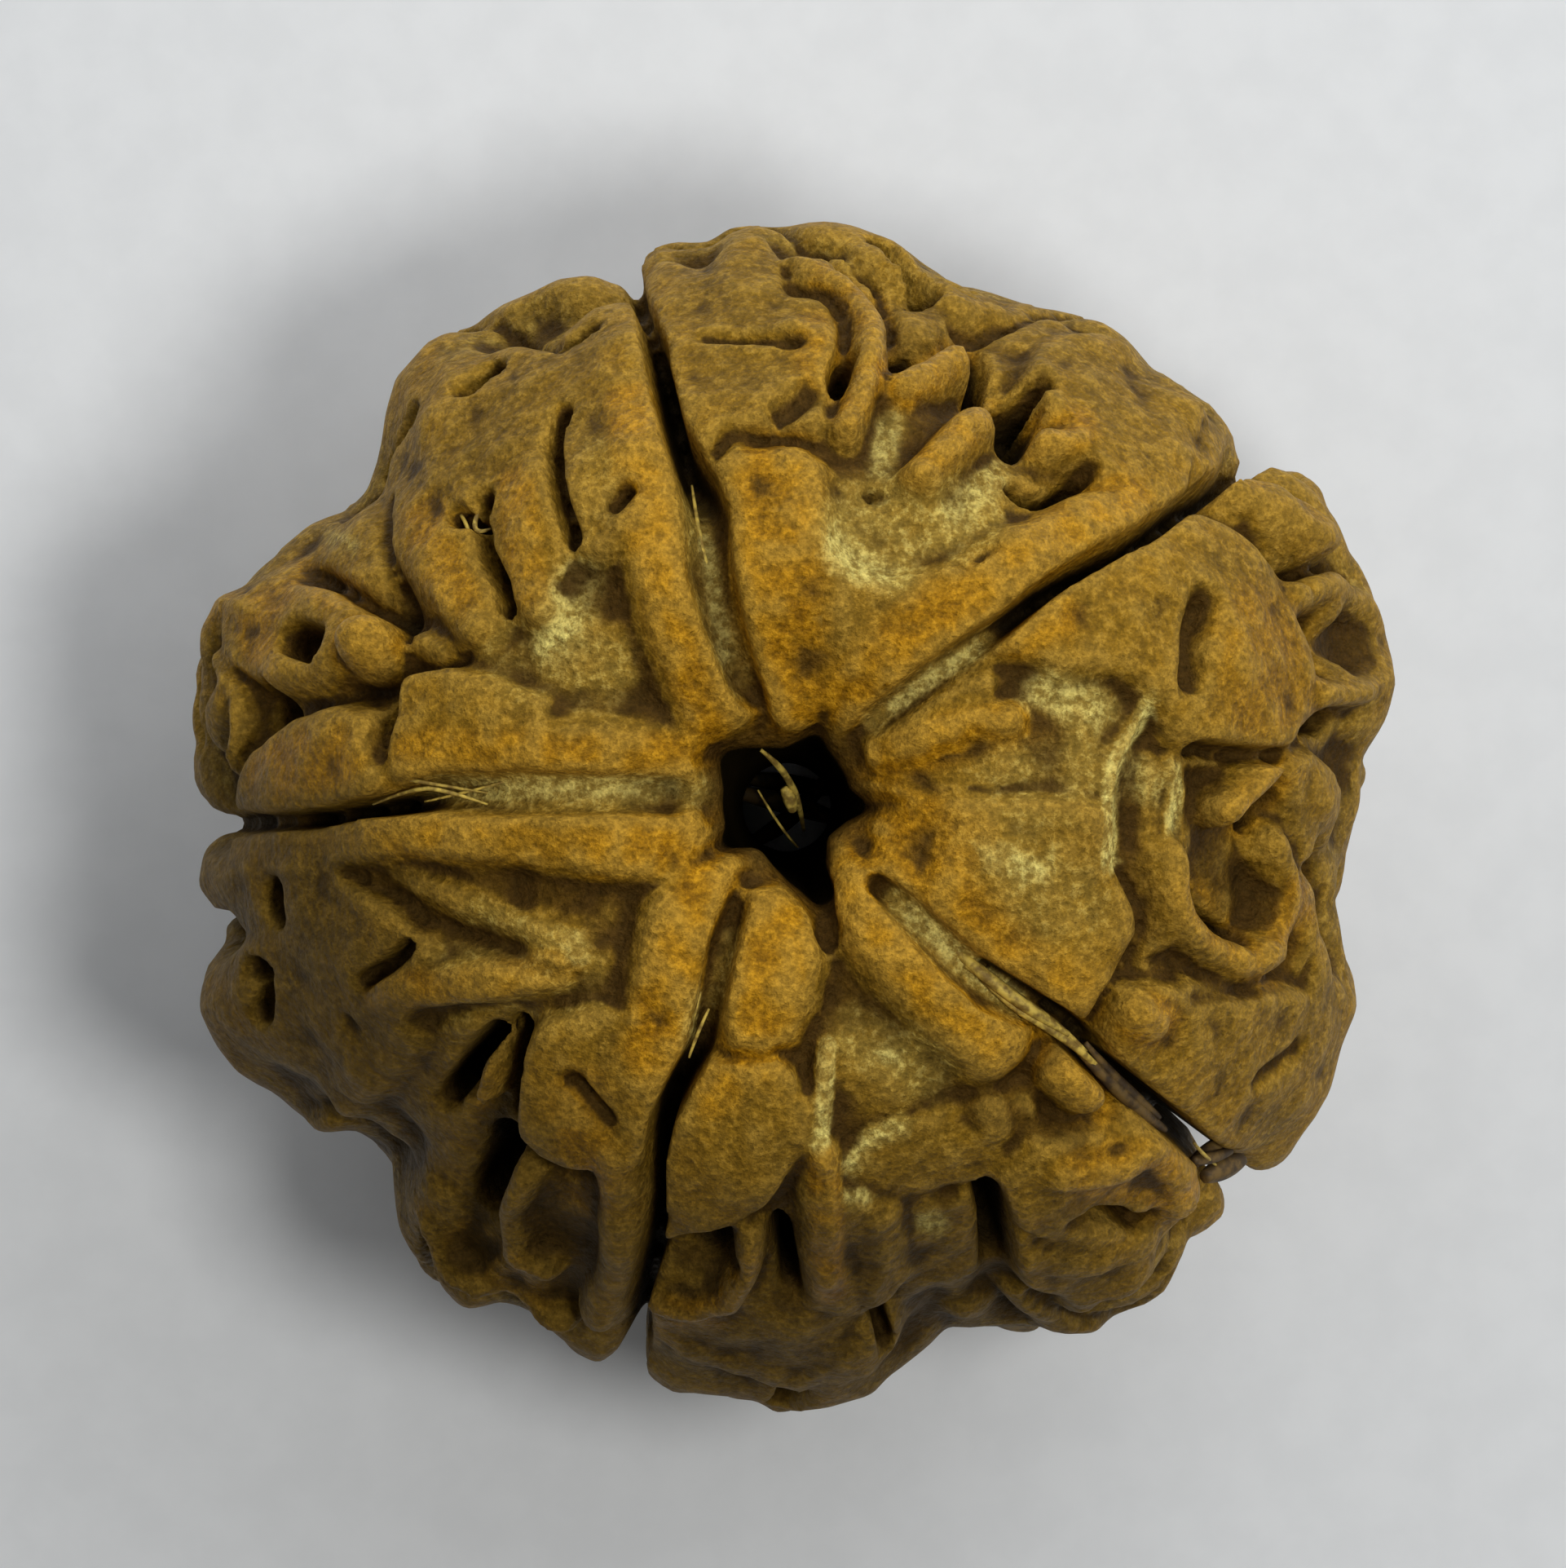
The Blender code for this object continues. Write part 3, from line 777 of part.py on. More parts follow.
def worn_level(mesh):
    """The pads under the bead cut level, and the bead set down with its bounding box centred over the origin."""
    lowest = points_of(mesh)[:, 2].min()
    work = bmesh.new()
    work.from_mesh(mesh)
    geometry = work.verts[:] + work.edges[:] + work.faces[:]
    cut = bmesh.ops.bisect_plane(work, geom=geometry, plane_co=(0, 0, lowest + WORN_LEVEL), plane_no=(0, 0, 1),
                                 clear_inner=True)
    rims = [edge for edge in cut["geom_cut"] if isinstance(edge, bmesh.types.BMEdge)]
    bmesh.ops.holes_fill(work, edges=rims, sides=0)
    bmesh.ops.triangulate(work, faces=work.faces[:])
    bmesh.ops.recalc_face_normals(work, faces=work.faces[:])
    work.to_mesh(mesh)
    work.free()
    points = points_of(mesh)
    low, high = points.min(axis=0), points.max(axis=0)
    mesh.transform(Matrix.Translation((-(low[0] + high[0]) / 2, -(low[1] + high[1]) / 2, -low[2])))
    mesh.transform(Matrix.Scale(MM, 4))


def wood():
    material = bpy.data.materials.new("rudraksha_stone")
    material.use_nodes = True
    shader = material.node_tree.nodes["Principled BSDF"]
    shader.inputs["Base Color"].default_value = (0.28, 0.15, 0.045, 1.0)
    shader.inputs["Roughness"].default_value = 0.5
    return material


def build():
    for obj in list(bpy.data.objects):
        bpy.data.objects.remove(obj)
    bead = bpy.data.objects.new("bead", shaped_mesh())
    collection = bpy.data.collections.new("rudraksha_bead")
    bpy.context.scene.collection.children.link(collection)
    collection.objects.link(bead)
    remesh = bead.modifiers.new("Even mesh", "REMESH")
    remesh.mode = "VOXEL"
    remesh.voxel_size = VOXEL
    smooth = bead.modifiers.new("Soften", "SMOOTH")
    smooth.factor = 0.5
    smooth.iterations = SMOOTHING_PASSES
    bead.data = evaluated_mesh(bead)
    bead.modifiers.clear()
    largest_body(bead.data)
    decimate = bead.modifiers.new("Fewer faces", "DECIMATE")
    decimate.ratio = TRIANGLES / (2 * len(bead.data.polygons))
    bead.data = evaluated_mesh(bead)
    bead.modifiers.clear()
    worn_level(bead.data)
    bead.data.polygons.foreach_set("use_smooth", [True] * len(bead.data.polygons))
    bead.data.materials.append(wood())


build()
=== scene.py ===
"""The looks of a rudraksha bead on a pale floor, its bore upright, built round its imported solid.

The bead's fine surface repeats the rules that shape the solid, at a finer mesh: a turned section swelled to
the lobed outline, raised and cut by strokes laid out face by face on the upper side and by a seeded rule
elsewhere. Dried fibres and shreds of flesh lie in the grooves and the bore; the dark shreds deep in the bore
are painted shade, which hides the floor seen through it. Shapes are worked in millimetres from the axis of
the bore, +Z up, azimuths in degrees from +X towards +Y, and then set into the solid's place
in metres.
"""

import math
import random

import bmesh
import bpy
import numpy as np
from mathutils import Matrix, Vector, noise
from mathutils.kdtree import KDTree


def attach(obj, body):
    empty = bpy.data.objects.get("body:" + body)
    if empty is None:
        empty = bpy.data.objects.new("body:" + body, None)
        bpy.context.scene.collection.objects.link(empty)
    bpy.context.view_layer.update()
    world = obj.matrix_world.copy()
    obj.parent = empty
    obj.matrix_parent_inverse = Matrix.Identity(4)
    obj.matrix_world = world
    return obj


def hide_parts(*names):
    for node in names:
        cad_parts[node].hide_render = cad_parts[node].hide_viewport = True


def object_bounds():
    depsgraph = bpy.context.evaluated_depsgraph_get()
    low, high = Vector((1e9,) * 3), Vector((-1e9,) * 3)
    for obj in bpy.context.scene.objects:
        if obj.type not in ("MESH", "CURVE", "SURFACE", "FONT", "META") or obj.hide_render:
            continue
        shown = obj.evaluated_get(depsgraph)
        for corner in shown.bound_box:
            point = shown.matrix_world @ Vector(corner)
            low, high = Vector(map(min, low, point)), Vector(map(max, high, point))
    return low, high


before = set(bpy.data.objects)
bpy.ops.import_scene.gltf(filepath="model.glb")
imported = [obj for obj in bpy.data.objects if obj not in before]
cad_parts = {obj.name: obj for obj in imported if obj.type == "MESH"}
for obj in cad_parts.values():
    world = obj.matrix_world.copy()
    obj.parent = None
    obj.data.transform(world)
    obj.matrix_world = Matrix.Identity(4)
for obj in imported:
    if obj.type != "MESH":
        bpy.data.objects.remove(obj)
CAD_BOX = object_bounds()

MM = 0.001

# Resolution of the fine surface
TURN_STEPS = 900
SECTION_POINTS = 520
VOXEL = 0.11
SMOOTHING_PASSES = 3
TRIANGLES = 196000

# The photograph's view: straight down from far off, so many millimetres across at the bead's equator
VIEW_WIDTH = 27.44
VIEW_CENTRE = (-0.064, 0.407)
CAMERA_DISTANCE = 1200.0
SENSOR = 36.0

# Colours, as written for the screen
KHAKI = "8C691A"
DUST = "80611C"
OLIVE = "6C521A"
OCHRE = "A27009"
GOLD = "BE8C1C"
CRUST = "AA8E3E"
CHALK = "DACA74"
# Painted shade in creases and in the mouth of the bore
CREASE_SHADE = "3D290E"
# Painted shade in pits, deep grooves and the bore
PIT_SHADE = "0D0904"
# Pale dusty flecks, and painted highlight on crisp edges
PALE_DUST_AND_EDGE_HIGHLIGHT = "A48234"
BROWN = "6E4408"
# Painted shade in broad hollows and over pits and creases
HOLLOW_SHADE = "422B0C"
# Painted highlight on the crowns of the forms
CROWN_HIGHLIGHT = "BC8A20"
# Painted shade for the outer south and south-west side
SOUTH_SIDE_SHADE = "2E220C"
FIBRE_DARK = "7C6222"
FIBRE_PALE = "D6B950"
SHRED_DARK = "3A2A12"
SHRED_PALE = "6E5526"

# The turned section as (radius, height above the equator): the skin, level with the crests of the ridges,
# from the upper mouth of the bore outwards and under to the lower mouth, then the bore from there back up
SKIN = [
    (1.3, 7.0), (1.55, 7.7), (2.15, 8.15), (3.4, 8.45), (5.0, 8.25), (6.6, 7.5), (8.0, 6.1), (9.2, 4.2),
    (9.95, 2.1), (10.2, 0.0), (9.9, -2.1), (9.1, -4.2), (7.8, -6.0), (6.3, -7.3), (4.6, -8.1), (3.0, -8.4),
    (1.9, -8.1), (1.15, -7.3),
]
BORE = [(0.85, -6.0), (0.78, -3.0), (0.82, 0.0), (0.95, 2.4), (1.15, 4.5), (1.27, 6.0)]
SKIN_RADIUS = 10.2

# The outline seen from above, knobs and notches included, clockwise from the top left
RIM = [
    (-2.75, 9.2), (-3.4, 9.3), (-4.0, 9.25), (-4.5, 9.0), (-5.0, 8.8), (-5.5, 8.4), (-5.9, 8.35),
    (-6.3, 8.15), (-6.6, 7.8), (-6.85, 7.5), (-7.0, 7.0), (-7.1, 6.5), (-7.2, 6.0), (-7.35, 5.6),
    (-7.8, 5.2), (-8.4, 4.95), (-8.8, 4.6), (-9.2, 4.2), (-9.6, 3.85), (-10.0, 3.7), (-10.25, 3.1),
    (-10.35, 2.3), (-10.45, 1.0), (-10.35, 0.3), (-10.2, 0.05), (-9.8, -0.3), (-10.2, -0.7), (-10.3, -1.35),
    (-10.1, -1.7), (-9.8, -2.3), (-10.2, -2.8), (-10.3, -3.5), (-10.0, -4.15), (-9.6, -4.65), (-9.0, -5.0),
    (-8.5, -5.5), (-8.2, -5.7), (-7.6, -5.65), (-7.3, -5.8), (-7.0, -6.1), (-6.9, -6.9), (-6.8, -7.4),
    (-6.6, -7.8), (-6.0, -8.6), (-5.6, -8.8), (-5.0, -8.65), (-4.5, -8.9), (-3.8, -9.5), (-3.3, -9.75),
    (-2.75, -9.45), (-2.5, -9.95), (-2.0, -10.25), (-1.5, -10.32), (-0.6, -10.4), (-0.2, -10.6),
    (0.2, -10.65), (0.9, -10.45), (1.5, -10.3), (2.1, -9.75), (2.5, -9.4), (2.8, -9.1), (3.6, -9.2),
    (4.5, -9.2), (5.0, -9.25), (5.4, -9.2), (5.7, -8.9), (6.3, -8.7), (6.6, -8.5), (7.0, -7.7), (7.7, -7.1),
    (7.7, -6.4), (8.4, -6.45), (8.8, -6.1), (9.2, -5.5), (9.5, -5.0), (9.7, -4.2), (10.0, -3.5),
    (9.9, -2.7), (9.65, -1.7), (9.8, -0.8), (10.15, 0.1), (10.15, 0.8), (10.4, 1.35), (10.7, 2.1),
    (10.6, 2.6), (10.4, 3.4), (10.1, 4.1), (9.75, 5.0), (9.4, 5.55), (8.95, 5.95), (8.35, 6.15),
    (7.98, 6.1), (7.85, 6.5), (7.4, 7.15), (6.5, 7.65), (5.9, 8.25), (5.5, 8.5), (4.5, 8.75), (3.4, 9.05),
    (3.0, 9.25), (2.4, 9.5), (2.1, 9.8), (1.2, 10.2), (0.7, 10.27), (0.0, 10.17), (-0.5, 10.25),
    (-1.0, 10.15), (-1.3, 9.95), (-2.3, 9.85), (-2.6, 9.6),
]
RIM_EASE_DEGREES = 9.0
RIM_HEIGHT = 4.5
RIM_MIDDLE = 0.6
RIM_SECTORS = 240
RIM_FILL = 0.8
RIM_BELT = 1.3
LOBED_FROM = 3.0
LOBED_FULLY = 8.5

# The mouth of the bore as (azimuth, radius): five arms point at the middles of the faces
STAR = [
    (1, 1.5), (14, 1.15), (38, 1.18), (56, 1.25), (67, 1.45), (78, 1.2), (92, 1.02), (116, 1.15),
    (134, 1.4), (142, 1.5), (152, 1.3), (164, 1.15), (196, 1.1), (205, 1.25), (211, 1.5), (218, 1.15),
    (231, 0.88), (245, 0.9), (264, 1.15), (280, 1.5), (288, 1.85), (298, 1.85), (304, 1.2), (323, 0.85),
    (346, 1.05),
]
STAR_REACH = 2.6
STAR_DEPTH = 4.5

# Nearer the axis than this, and nearer the equator than this, the surface is the smooth wall of the bore
MOUTH_REACH = 2.3
MOUTH_LEVEL = 7.2

# Levels are millimetres above the floor of the deepest hollows. The crests stand at the skin.
CREST = 0.95
MIDDLE_LEVEL = 0.42
OUTER_LEVEL = 0.12
MIDDLE_REACH = (5.2, 7.4)
BAND_LEVEL = 0.3
BAND_MIDDLE = 2.0
BAND_REACH = 3.4
EDGE_SHARE = 0.7
MELTED = 0.22
CUT_DROP = 0.2

# Unevenness of the whole surface, as (height, waves a millimetre, seed)
GRAINS = [(0.08, 0.8, 1), (0.04, 2.1, 2)]

# The five grooves seen from above, from the mouth to the rim, as (x, y, width, depth under the crests)
GROOVES = {
    "north": [
        (-0.35, 1.5, 0.5, 0.5), (-0.75, 2.2, 0.65, 0.62), (-1.1, 3.2, 0.8, 0.75), (-1.35, 4.2, 0.9, 0.85),
        (-1.42, 5.2, 0.9, 1.0), (-1.6, 5.8, 0.75, 1.4), (-2.0, 6.7, 0.45, 2.1), (-2.2, 7.4, 0.42, 2.4),
        (-2.35, 8.2, 0.42, 2.2), (-2.5, 8.75, 0.3, 1.2), (-2.72, 9.3, 0.3, 0.9),
    ],
    "north_east": [
        (1.0, 1.1, 0.45, 0.4), (1.7, 1.6, 0.6, 0.6), (2.5, 2.2, 0.7, 0.68), (3.2, 2.75, 0.6, 0.8),
        (3.8, 3.2, 0.45, 1.2), (4.7, 3.95, 0.38, 1.9), (5.5, 4.45, 0.42, 2.2), (6.3, 4.85, 0.4, 2.2),
        (6.9, 5.3, 0.38, 1.9), (7.4, 5.7, 0.38, 1.8), (7.95, 5.95, 0.45, 1.5),
    ],
    "south_east": [
        (1.6, -1.35, 0.45, 0.5), (2.3, -2.0, 0.65, 0.65), (2.9, -2.6, 0.75, 0.7), (3.6, -3.2, 0.8, 0.75),
        (4.3, -3.6, 0.75, 0.8), (5.0, -4.0, 0.65, 1.0), (5.6, -4.6, 0.6, 1.3), (6.2, -5.1, 0.55, 1.8),
        (6.65, -5.45, 0.5, 3.5), (7.1, -5.85, 0.5, 3.2), (7.4, -6.1, 0.5, 2.8), (7.7, -6.35, 0.5, 2.2),
    ],
    "south": [
        (-0.65, -0.9, 0.45, 0.4), (-0.85, -1.6, 0.5, 0.55), (-1.1, -2.4, 0.55, 0.65), (-1.3, -3.3, 0.55, 0.8),
        (-1.5, -4.2, 0.55, 1.1), (-1.9, -4.9, 0.5, 1.6), (-2.2, -5.5, 0.45, 2.1), (-2.35, -6.2, 0.42, 2.3),
        (-2.32, -7.2, 0.4, 2.3), (-2.45, -8.0, 0.4, 2.2), (-2.65, -8.7, 0.42, 1.8), (-2.72, -9.5, 0.5, 1.6),
    ],
    "west": [
        (-1.2, 0.15, 0.6, 0.45), (-2.0, 0.2, 0.75, 0.58), (-3.5, 0.25, 0.85, 0.65), (-5.0, 0.25, 0.9, 0.7),
        (-6.2, 0.25, 0.75, 0.9), (-7.0, 0.05, 0.45, 1.5), (-7.5, -0.02, 0.36, 2.1), (-8.2, -0.18, 0.34, 2.1),
        (-9.0, -0.28, 0.32, 1.3), (-9.8, -0.3, 0.4, 1.1),
    ],
}

# Broad plates of the upper side: (level, width of the sloping edge, outline seen from above)
PLATES = [
    # North face: the mound that forks from the mouth, the corner plate, the big outer lump and two low floors
    (0.95, 0.8, [(-0.3, 1.3), (-0.75, 2.2), (-1.1, 3.2), (-1.35, 4.2), (-1.42, 5.2), (-1.5, 5.9),
                 (-1.0, 6.35), (0.25, 6.35), (0.7, 6.0), (0.75, 5.3), (0.8, 4.7), (1.15, 4.2), (1.8, 4.0),
                 (2.8, 4.3), (3.8, 4.85), (4.6, 5.25), (5.3, 5.6), (6.1, 5.75), (7.2, 5.9), (7.2, 5.5),
                 (6.3, 4.85), (5.5, 4.45), (4.0, 3.4), (3.3, 2.8), (2.5, 2.2), (1.7, 1.6), (0.9, 1.0)]),
    (0.92, 0.4, [(-2.6, 9.4), (-2.2, 9.65), (-1.6, 9.55), (-1.0, 9.7), (-0.4, 9.82), (-0.05, 9.6),
                 (0.0, 9.05), (0.7, 8.9), (1.0, 8.5), (0.9, 7.9), (0.75, 7.5), (0.65, 6.9), (0.6, 6.45),
                 (-0.5, 6.6), (-1.0, 6.3), (-1.4, 6.0), (-2.0, 6.7), (-2.3, 7.6), (-2.5, 8.6)]),
    (0.98, 0.6, [(4.2, 7.3), (4.4, 8.3), (5.2, 8.25), (6.0, 8.0), (6.7, 7.5), (7.3, 6.8), (7.5, 6.0),
                 (7.0, 5.7), (6.2, 5.5), (5.4, 5.9), (5.2, 6.5), (4.7, 6.9)]),
    (0.45, 0.8, [(0.6, 4.6), (1.2, 4.0), (3.0, 4.4), (4.6, 5.5), (3.6, 6.3), (2.4, 7.0), (1.8, 7.3),
                 (1.0, 6.8), (0.5, 6.2)]),
    (0.5, 0.5, [(3.5, 7.5), (3.4, 8.4), (4.2, 8.6), (4.5, 7.6)]),
    # East face: the big lump, the speckled plate, the smooth far corner and the floors between them
    (0.98, 0.8, [(3.7, 2.8), (4.3, 3.7), (5.5, 4.45), (6.3, 4.9), (6.9, 5.3), (7.4, 5.2), (8.0, 4.9),
                 (8.5, 4.3), (8.9, 3.7), (9.2, 3.0), (9.35, 2.3), (9.25, 1.6), (8.9, 1.1), (8.3, 0.9),
                 (7.5, 1.0), (6.9, 1.2), (6.5, 1.9), (5.8, 2.4), (4.8, 2.35)]),
    (0.88, 0.7, [(1.3, 0.5), (2.5, 0.3), (3.6, 0.2), (4.8, 0.2), (5.6, 0.0), (5.7, -1.0), (6.1, -1.8),
                 (6.15, -2.2), (5.9, -2.7), (5.7, -3.1), (5.2, -3.8), (4.3, -3.6), (3.6, -3.2), (2.8, -2.5),
                 (2.1, -1.8), (1.4, -1.1)]),
    (0.5, 0.8, [(3.8, 0.4), (3.9, 2.3), (5.5, 2.3), (6.4, 1.6), (5.8, 0.6), (5.4, 0.2)]),
    (0.5, 0.5, [(6.3, 1.0), (7.0, 0.9), (7.1, -0.6), (6.8, -2.4), (6.3, -2.6), (6.2, -1.0)]),
    (0.85, 0.4, [(8.75, 0.8), (9.4, 1.0), (9.9, 0.2), (9.7, -0.8), (9.1, -1.0), (8.9, -0.3)]),
    (0.87, 0.7, [(6.5, -3.0), (7.8, -3.2), (9.3, -3.2), (9.9, -4.2), (9.4, -5.5), (8.6, -6.3), (7.7, -6.1),
                 (6.7, -5.3), (5.9, -4.7), (5.7, -3.9)]),
    # North-west face: the outer plate with its dome, the slab along the west groove and the lumps at the rim
    (0.92, 0.7, [(-7.1, 4.6), (-7.3, 5.5), (-7.2, 6.5), (-7.1, 7.2), (-6.6, 7.9), (-5.9, 8.2), (-4.3, 8.15),
                 (-3.3, 8.8), (-2.5, 8.8), (-2.1, 7.2), (-1.9, 6.4), (-2.2, 5.5), (-2.6, 4.7), (-3.2, 4.3),
                 (-3.8, 4.4), (-4.2, 3.6), (-5.0, 3.4), (-5.6, 3.6), (-6.3, 3.6)]),
    (0.45, 0.8, [(-1.6, 2.0), (-5.6, 2.4), (-5.4, 3.6), (-4.2, 4.4), (-2.6, 5.0)]),
    (0.86, 0.4, [(-4.2, 0.4), (-6.9, 0.4), (-7.05, 1.0), (-6.85, 1.6), (-6.8, 2.35), (-6.0, 2.5),
                 (-5.0, 2.3), (-4.2, 1.9)]),
    (0.82, 1.0, [(-1.2, 0.1), (-5.5, 0.1), (-5.5, 1.8), (-4.0, 1.55), (-3.0, 1.5), (-2.0, 1.5),
                 (-1.4, 1.5)]),
    (1.0, 0.5, [(-9.8, 0.2), (-9.4, 1.0), (-8.7, 1.6), (-8.0, 1.8), (-7.45, 1.65), (-7.2, 1.1),
                (-7.05, 0.5), (-7.3, -0.1), (-9.0, -0.25), (-9.8, -0.2)]),
    (0.85, 0.5, [(-9.4, 4.0), (-8.8, 4.8), (-7.9, 5.2), (-7.2, 5.5), (-7.1, 4.3), (-7.4, 3.9),
                 (-8.2, 4.2)]),
    (0.92, 0.45, [(-9.7, 3.4), (-8.9, 4.05), (-8.0, 3.9), (-7.5, 3.5), (-7.9, 2.5), (-8.5, 2.15),
                  (-9.2, 2.1), (-9.7, 2.6)]),
    # South-west face: the bank of the west groove, the outer mass, the lump by the south groove, low floors
    (0.92, 0.6, [(-10.0, -0.1), (-8.5, -0.1), (-7.0, 0.1), (-3.4, 0.1), (-1.4, 0.0), (-1.1, -0.9),
                 (-2.2, -1.3), (-3.5, -1.2), (-5.0, -1.0), (-6.4, -0.9), (-7.6, -1.0), (-8.4, -1.3),
                 (-9.8, -1.3)]),
    (0.9, 0.55, [(-10.2, -0.8), (-8.0, -0.9), (-7.4, -1.3), (-6.6, -2.1), (-6.2, -2.6), (-6.6, -3.8),
                 (-6.9, -4.6), (-8.3, -5.3), (-9.6, -4.7), (-10.3, -3.5), (-9.7, -2.4), (-10.3, -1.4)]),
    (0.97, 0.5, [(-4.3, -3.8), (-4.75, -4.5), (-4.85, -5.1), (-4.7, -5.8), (-4.3, -6.2), (-3.6, -6.4),
                 (-2.5, -6.3), (-2.2, -5.4), (-1.6, -4.4), (-2.3, -3.6), (-3.4, -3.5)]),
    (0.4, 0.8, [(-1.8, -1.4), (-6.8, -1.0), (-6.5, -2.2), (-4.0, -3.6), (-2.6, -3.4)]),
    (0.5, 0.7, [(-8.2, -4.3), (-8.3, -5.4), (-7.0, -5.9), (-6.9, -7.3), (-5.7, -7.2), (-5.6, -5.4),
                (-5.7, -4.2), (-5.0, -3.6), (-7.0, -3.7)]),
    (0.4, 0.4, [(-4.6, -6.4), (-4.6, -8.2), (-3.2, -8.6), (-3.0, -6.4)]),
    # South face: the tongue, the slab, the ledge, the columns, the big outer lump and low floors
    (1.05, 0.55, [(0.05, -1.2), (0.5, -1.9), (0.6, -2.6), (0.5, -3.4), (0.15, -4.05), (-0.4, -4.3),
                  (-1.0, -4.2), (-1.15, -3.4), (-0.95, -2.4), (-0.65, -1.4)]),
    (0.92, 0.4, [(-1.5, -4.4), (-0.7, -4.45), (-0.1, -4.4), (0.4, -5.0), (0.5, -5.7), (0.0, -6.5),
                 (-0.4, -7.1), (-1.0, -7.4), (-1.6, -7.5), (-2.2, -7.7), (-2.3, -6.9), (-2.2, -6.0),
                 (-2.05, -5.2)]),
    (0.4, 0.6, [(0.5, -3.6), (1.4, -3.3), (3.4, -4.8), (1.6, -5.6), (0.6, -6.0)]),
    (0.58, 0.45, [(1.0, -6.2), (1.5, -5.65), (2.4, -5.35), (3.5, -5.0), (4.3, -5.0), (4.6, -6.0),
                  (4.0, -6.5), (3.0, -6.6), (2.0, -6.9), (1.2, -6.9)]),
    (0.82, 0.5, [(0.25, -6.3), (1.2, -6.7), (2.0, -7.1), (2.2, -8.3), (1.6, -9.0), (0.4, -8.9)]),
    (0.55, 0.6, [(1.9, -6.9), (3.3, -6.7), (3.4, -8.4), (3.2, -9.2), (2.0, -9.2)]),
    (1.0, 0.6, [(3.75, -6.6), (4.0, -7.3), (3.9, -7.9), (4.2, -8.45), (5.0, -8.6), (5.7, -8.4), (6.2, -8.0),
                (6.8, -7.4), (7.3, -6.9), (7.3, -6.3), (6.9, -5.8), (6.2, -5.5), (5.3, -5.7), (4.4, -5.9)]),
    (0.6, 0.6, [(-2.4, -8.0), (-0.6, -8.6), (1.8, -8.8), (2.2, -9.4), (0.6, -10.2), (-1.5, -10.0),
                (-2.5, -9.4)]),
]

# Ridges with sloping sides, on the upper side: (level, width, points seen from above)
RIDGES = [
    # North face
    (0.85, 1.1, [(5.0, 8.6), (4.0, 8.7), (3.1, 8.9), (2.3, 9.3)]),
    (0.75, 1.1, [(-2.3, 9.75), (-1.2, 9.85), (-0.5, 10.0), (0.7, 10.0), (1.5, 9.7), (2.2, 9.3)]),
    (0.85, 1.3, [(7.3, 6.0), (7.4, 6.8)]),
    # East face
    (0.75, 1.6, [(1.4, 0.5), (2.6, 0.7), (3.6, 0.9)]),
    (0.7, 0.5, [(1.7, 1.35), (2.6, 1.75), (3.5, 2.15)]),
    (0.68, 0.34, [(6.3, 1.9), (6.1, 1.4), (5.75, 0.9), (5.6, 0.3), (5.65, -0.4), (5.6, -1.0)]),
    (0.62, 0.34, [(6.75, 0.7), (6.8, 0.2), (6.7, -0.4)]),
    (1.1, 1.6, [(8.1, 5.5), (9.2, 4.7)]),
    (0.9, 1.4, [(9.4, 0.3), (9.5, 0.35)]),
    (0.85, 1.3, [(9.4, -2.6), (9.5, -3.4)]),
    # North-west face
    (1.0, 1.7, [(-1.2, 1.4), (-1.6, 2.4), (-1.95, 3.4), (-2.3, 4.6), (-2.55, 6.2), (-2.85, 7.6),
                (-3.0, 8.7)]),
    (0.98, 0.95, [(-4.65, 6.0), (-4.7, 5.4), (-4.65, 4.8), (-4.5, 4.2), (-4.35, 3.5)]),
    (0.95, 1.0, [(-6.5, 5.2), (-6.25, 4.4), (-5.9, 3.7), (-5.5, 3.2)]),
    (1.02, 1.9, [(-6.0, 6.7), (-5.9, 6.0)]),
    (0.9, 1.4, [(-5.7, 8.6), (-4.6, 8.95), (-3.6, 9.15)]),
    # South-west face
    (1.0, 1.7, [(-1.35, -0.8), (-1.75, -1.8), (-2.05, -2.8), (-2.3, -3.8), (-2.5, -4.6)]),
    (0.92, 1.0, [(-7.0, -3.3), (-6.0, -3.15), (-5.0, -3.05), (-4.2, -2.9)]),
    (0.65, 0.7, [(-6.8, -1.15), (-5.5, -1.7), (-4.6, -2.1), (-3.7, -2.5)]),
    (0.9, 1.3, [(-6.8, -4.1), (-7.6, -4.9)]),
    # South face
    (1.03, 1.75, [(0.95, -0.9), (1.3, -1.7), (2.0, -2.6), (2.8, -3.45), (3.6, -4.15)]),
    (0.75, 0.42, [(0.7, -4.2), (0.65, -4.8), (0.65, -5.4), (0.58, -5.9)]),
    (0.75, 0.9, [(1.2, -9.4), (0.2, -9.9), (-1.2, -9.7), (-2.1, -9.3)]),
    (0.85, 0.8, [(4.1, -8.7), (4.7, -8.95), (5.5, -8.8), (6.2, -8.35), (6.8, -7.7)]),
    (1.25, 0.9, [(4.8, -6.35), (5.7, -6.2), (6.3, -5.95), (6.7, -6.3), (6.8, -6.9)]),
    (1.15, 0.9, [(4.3, -7.9), (5.2, -7.9), (6.2, -7.5)]),
]

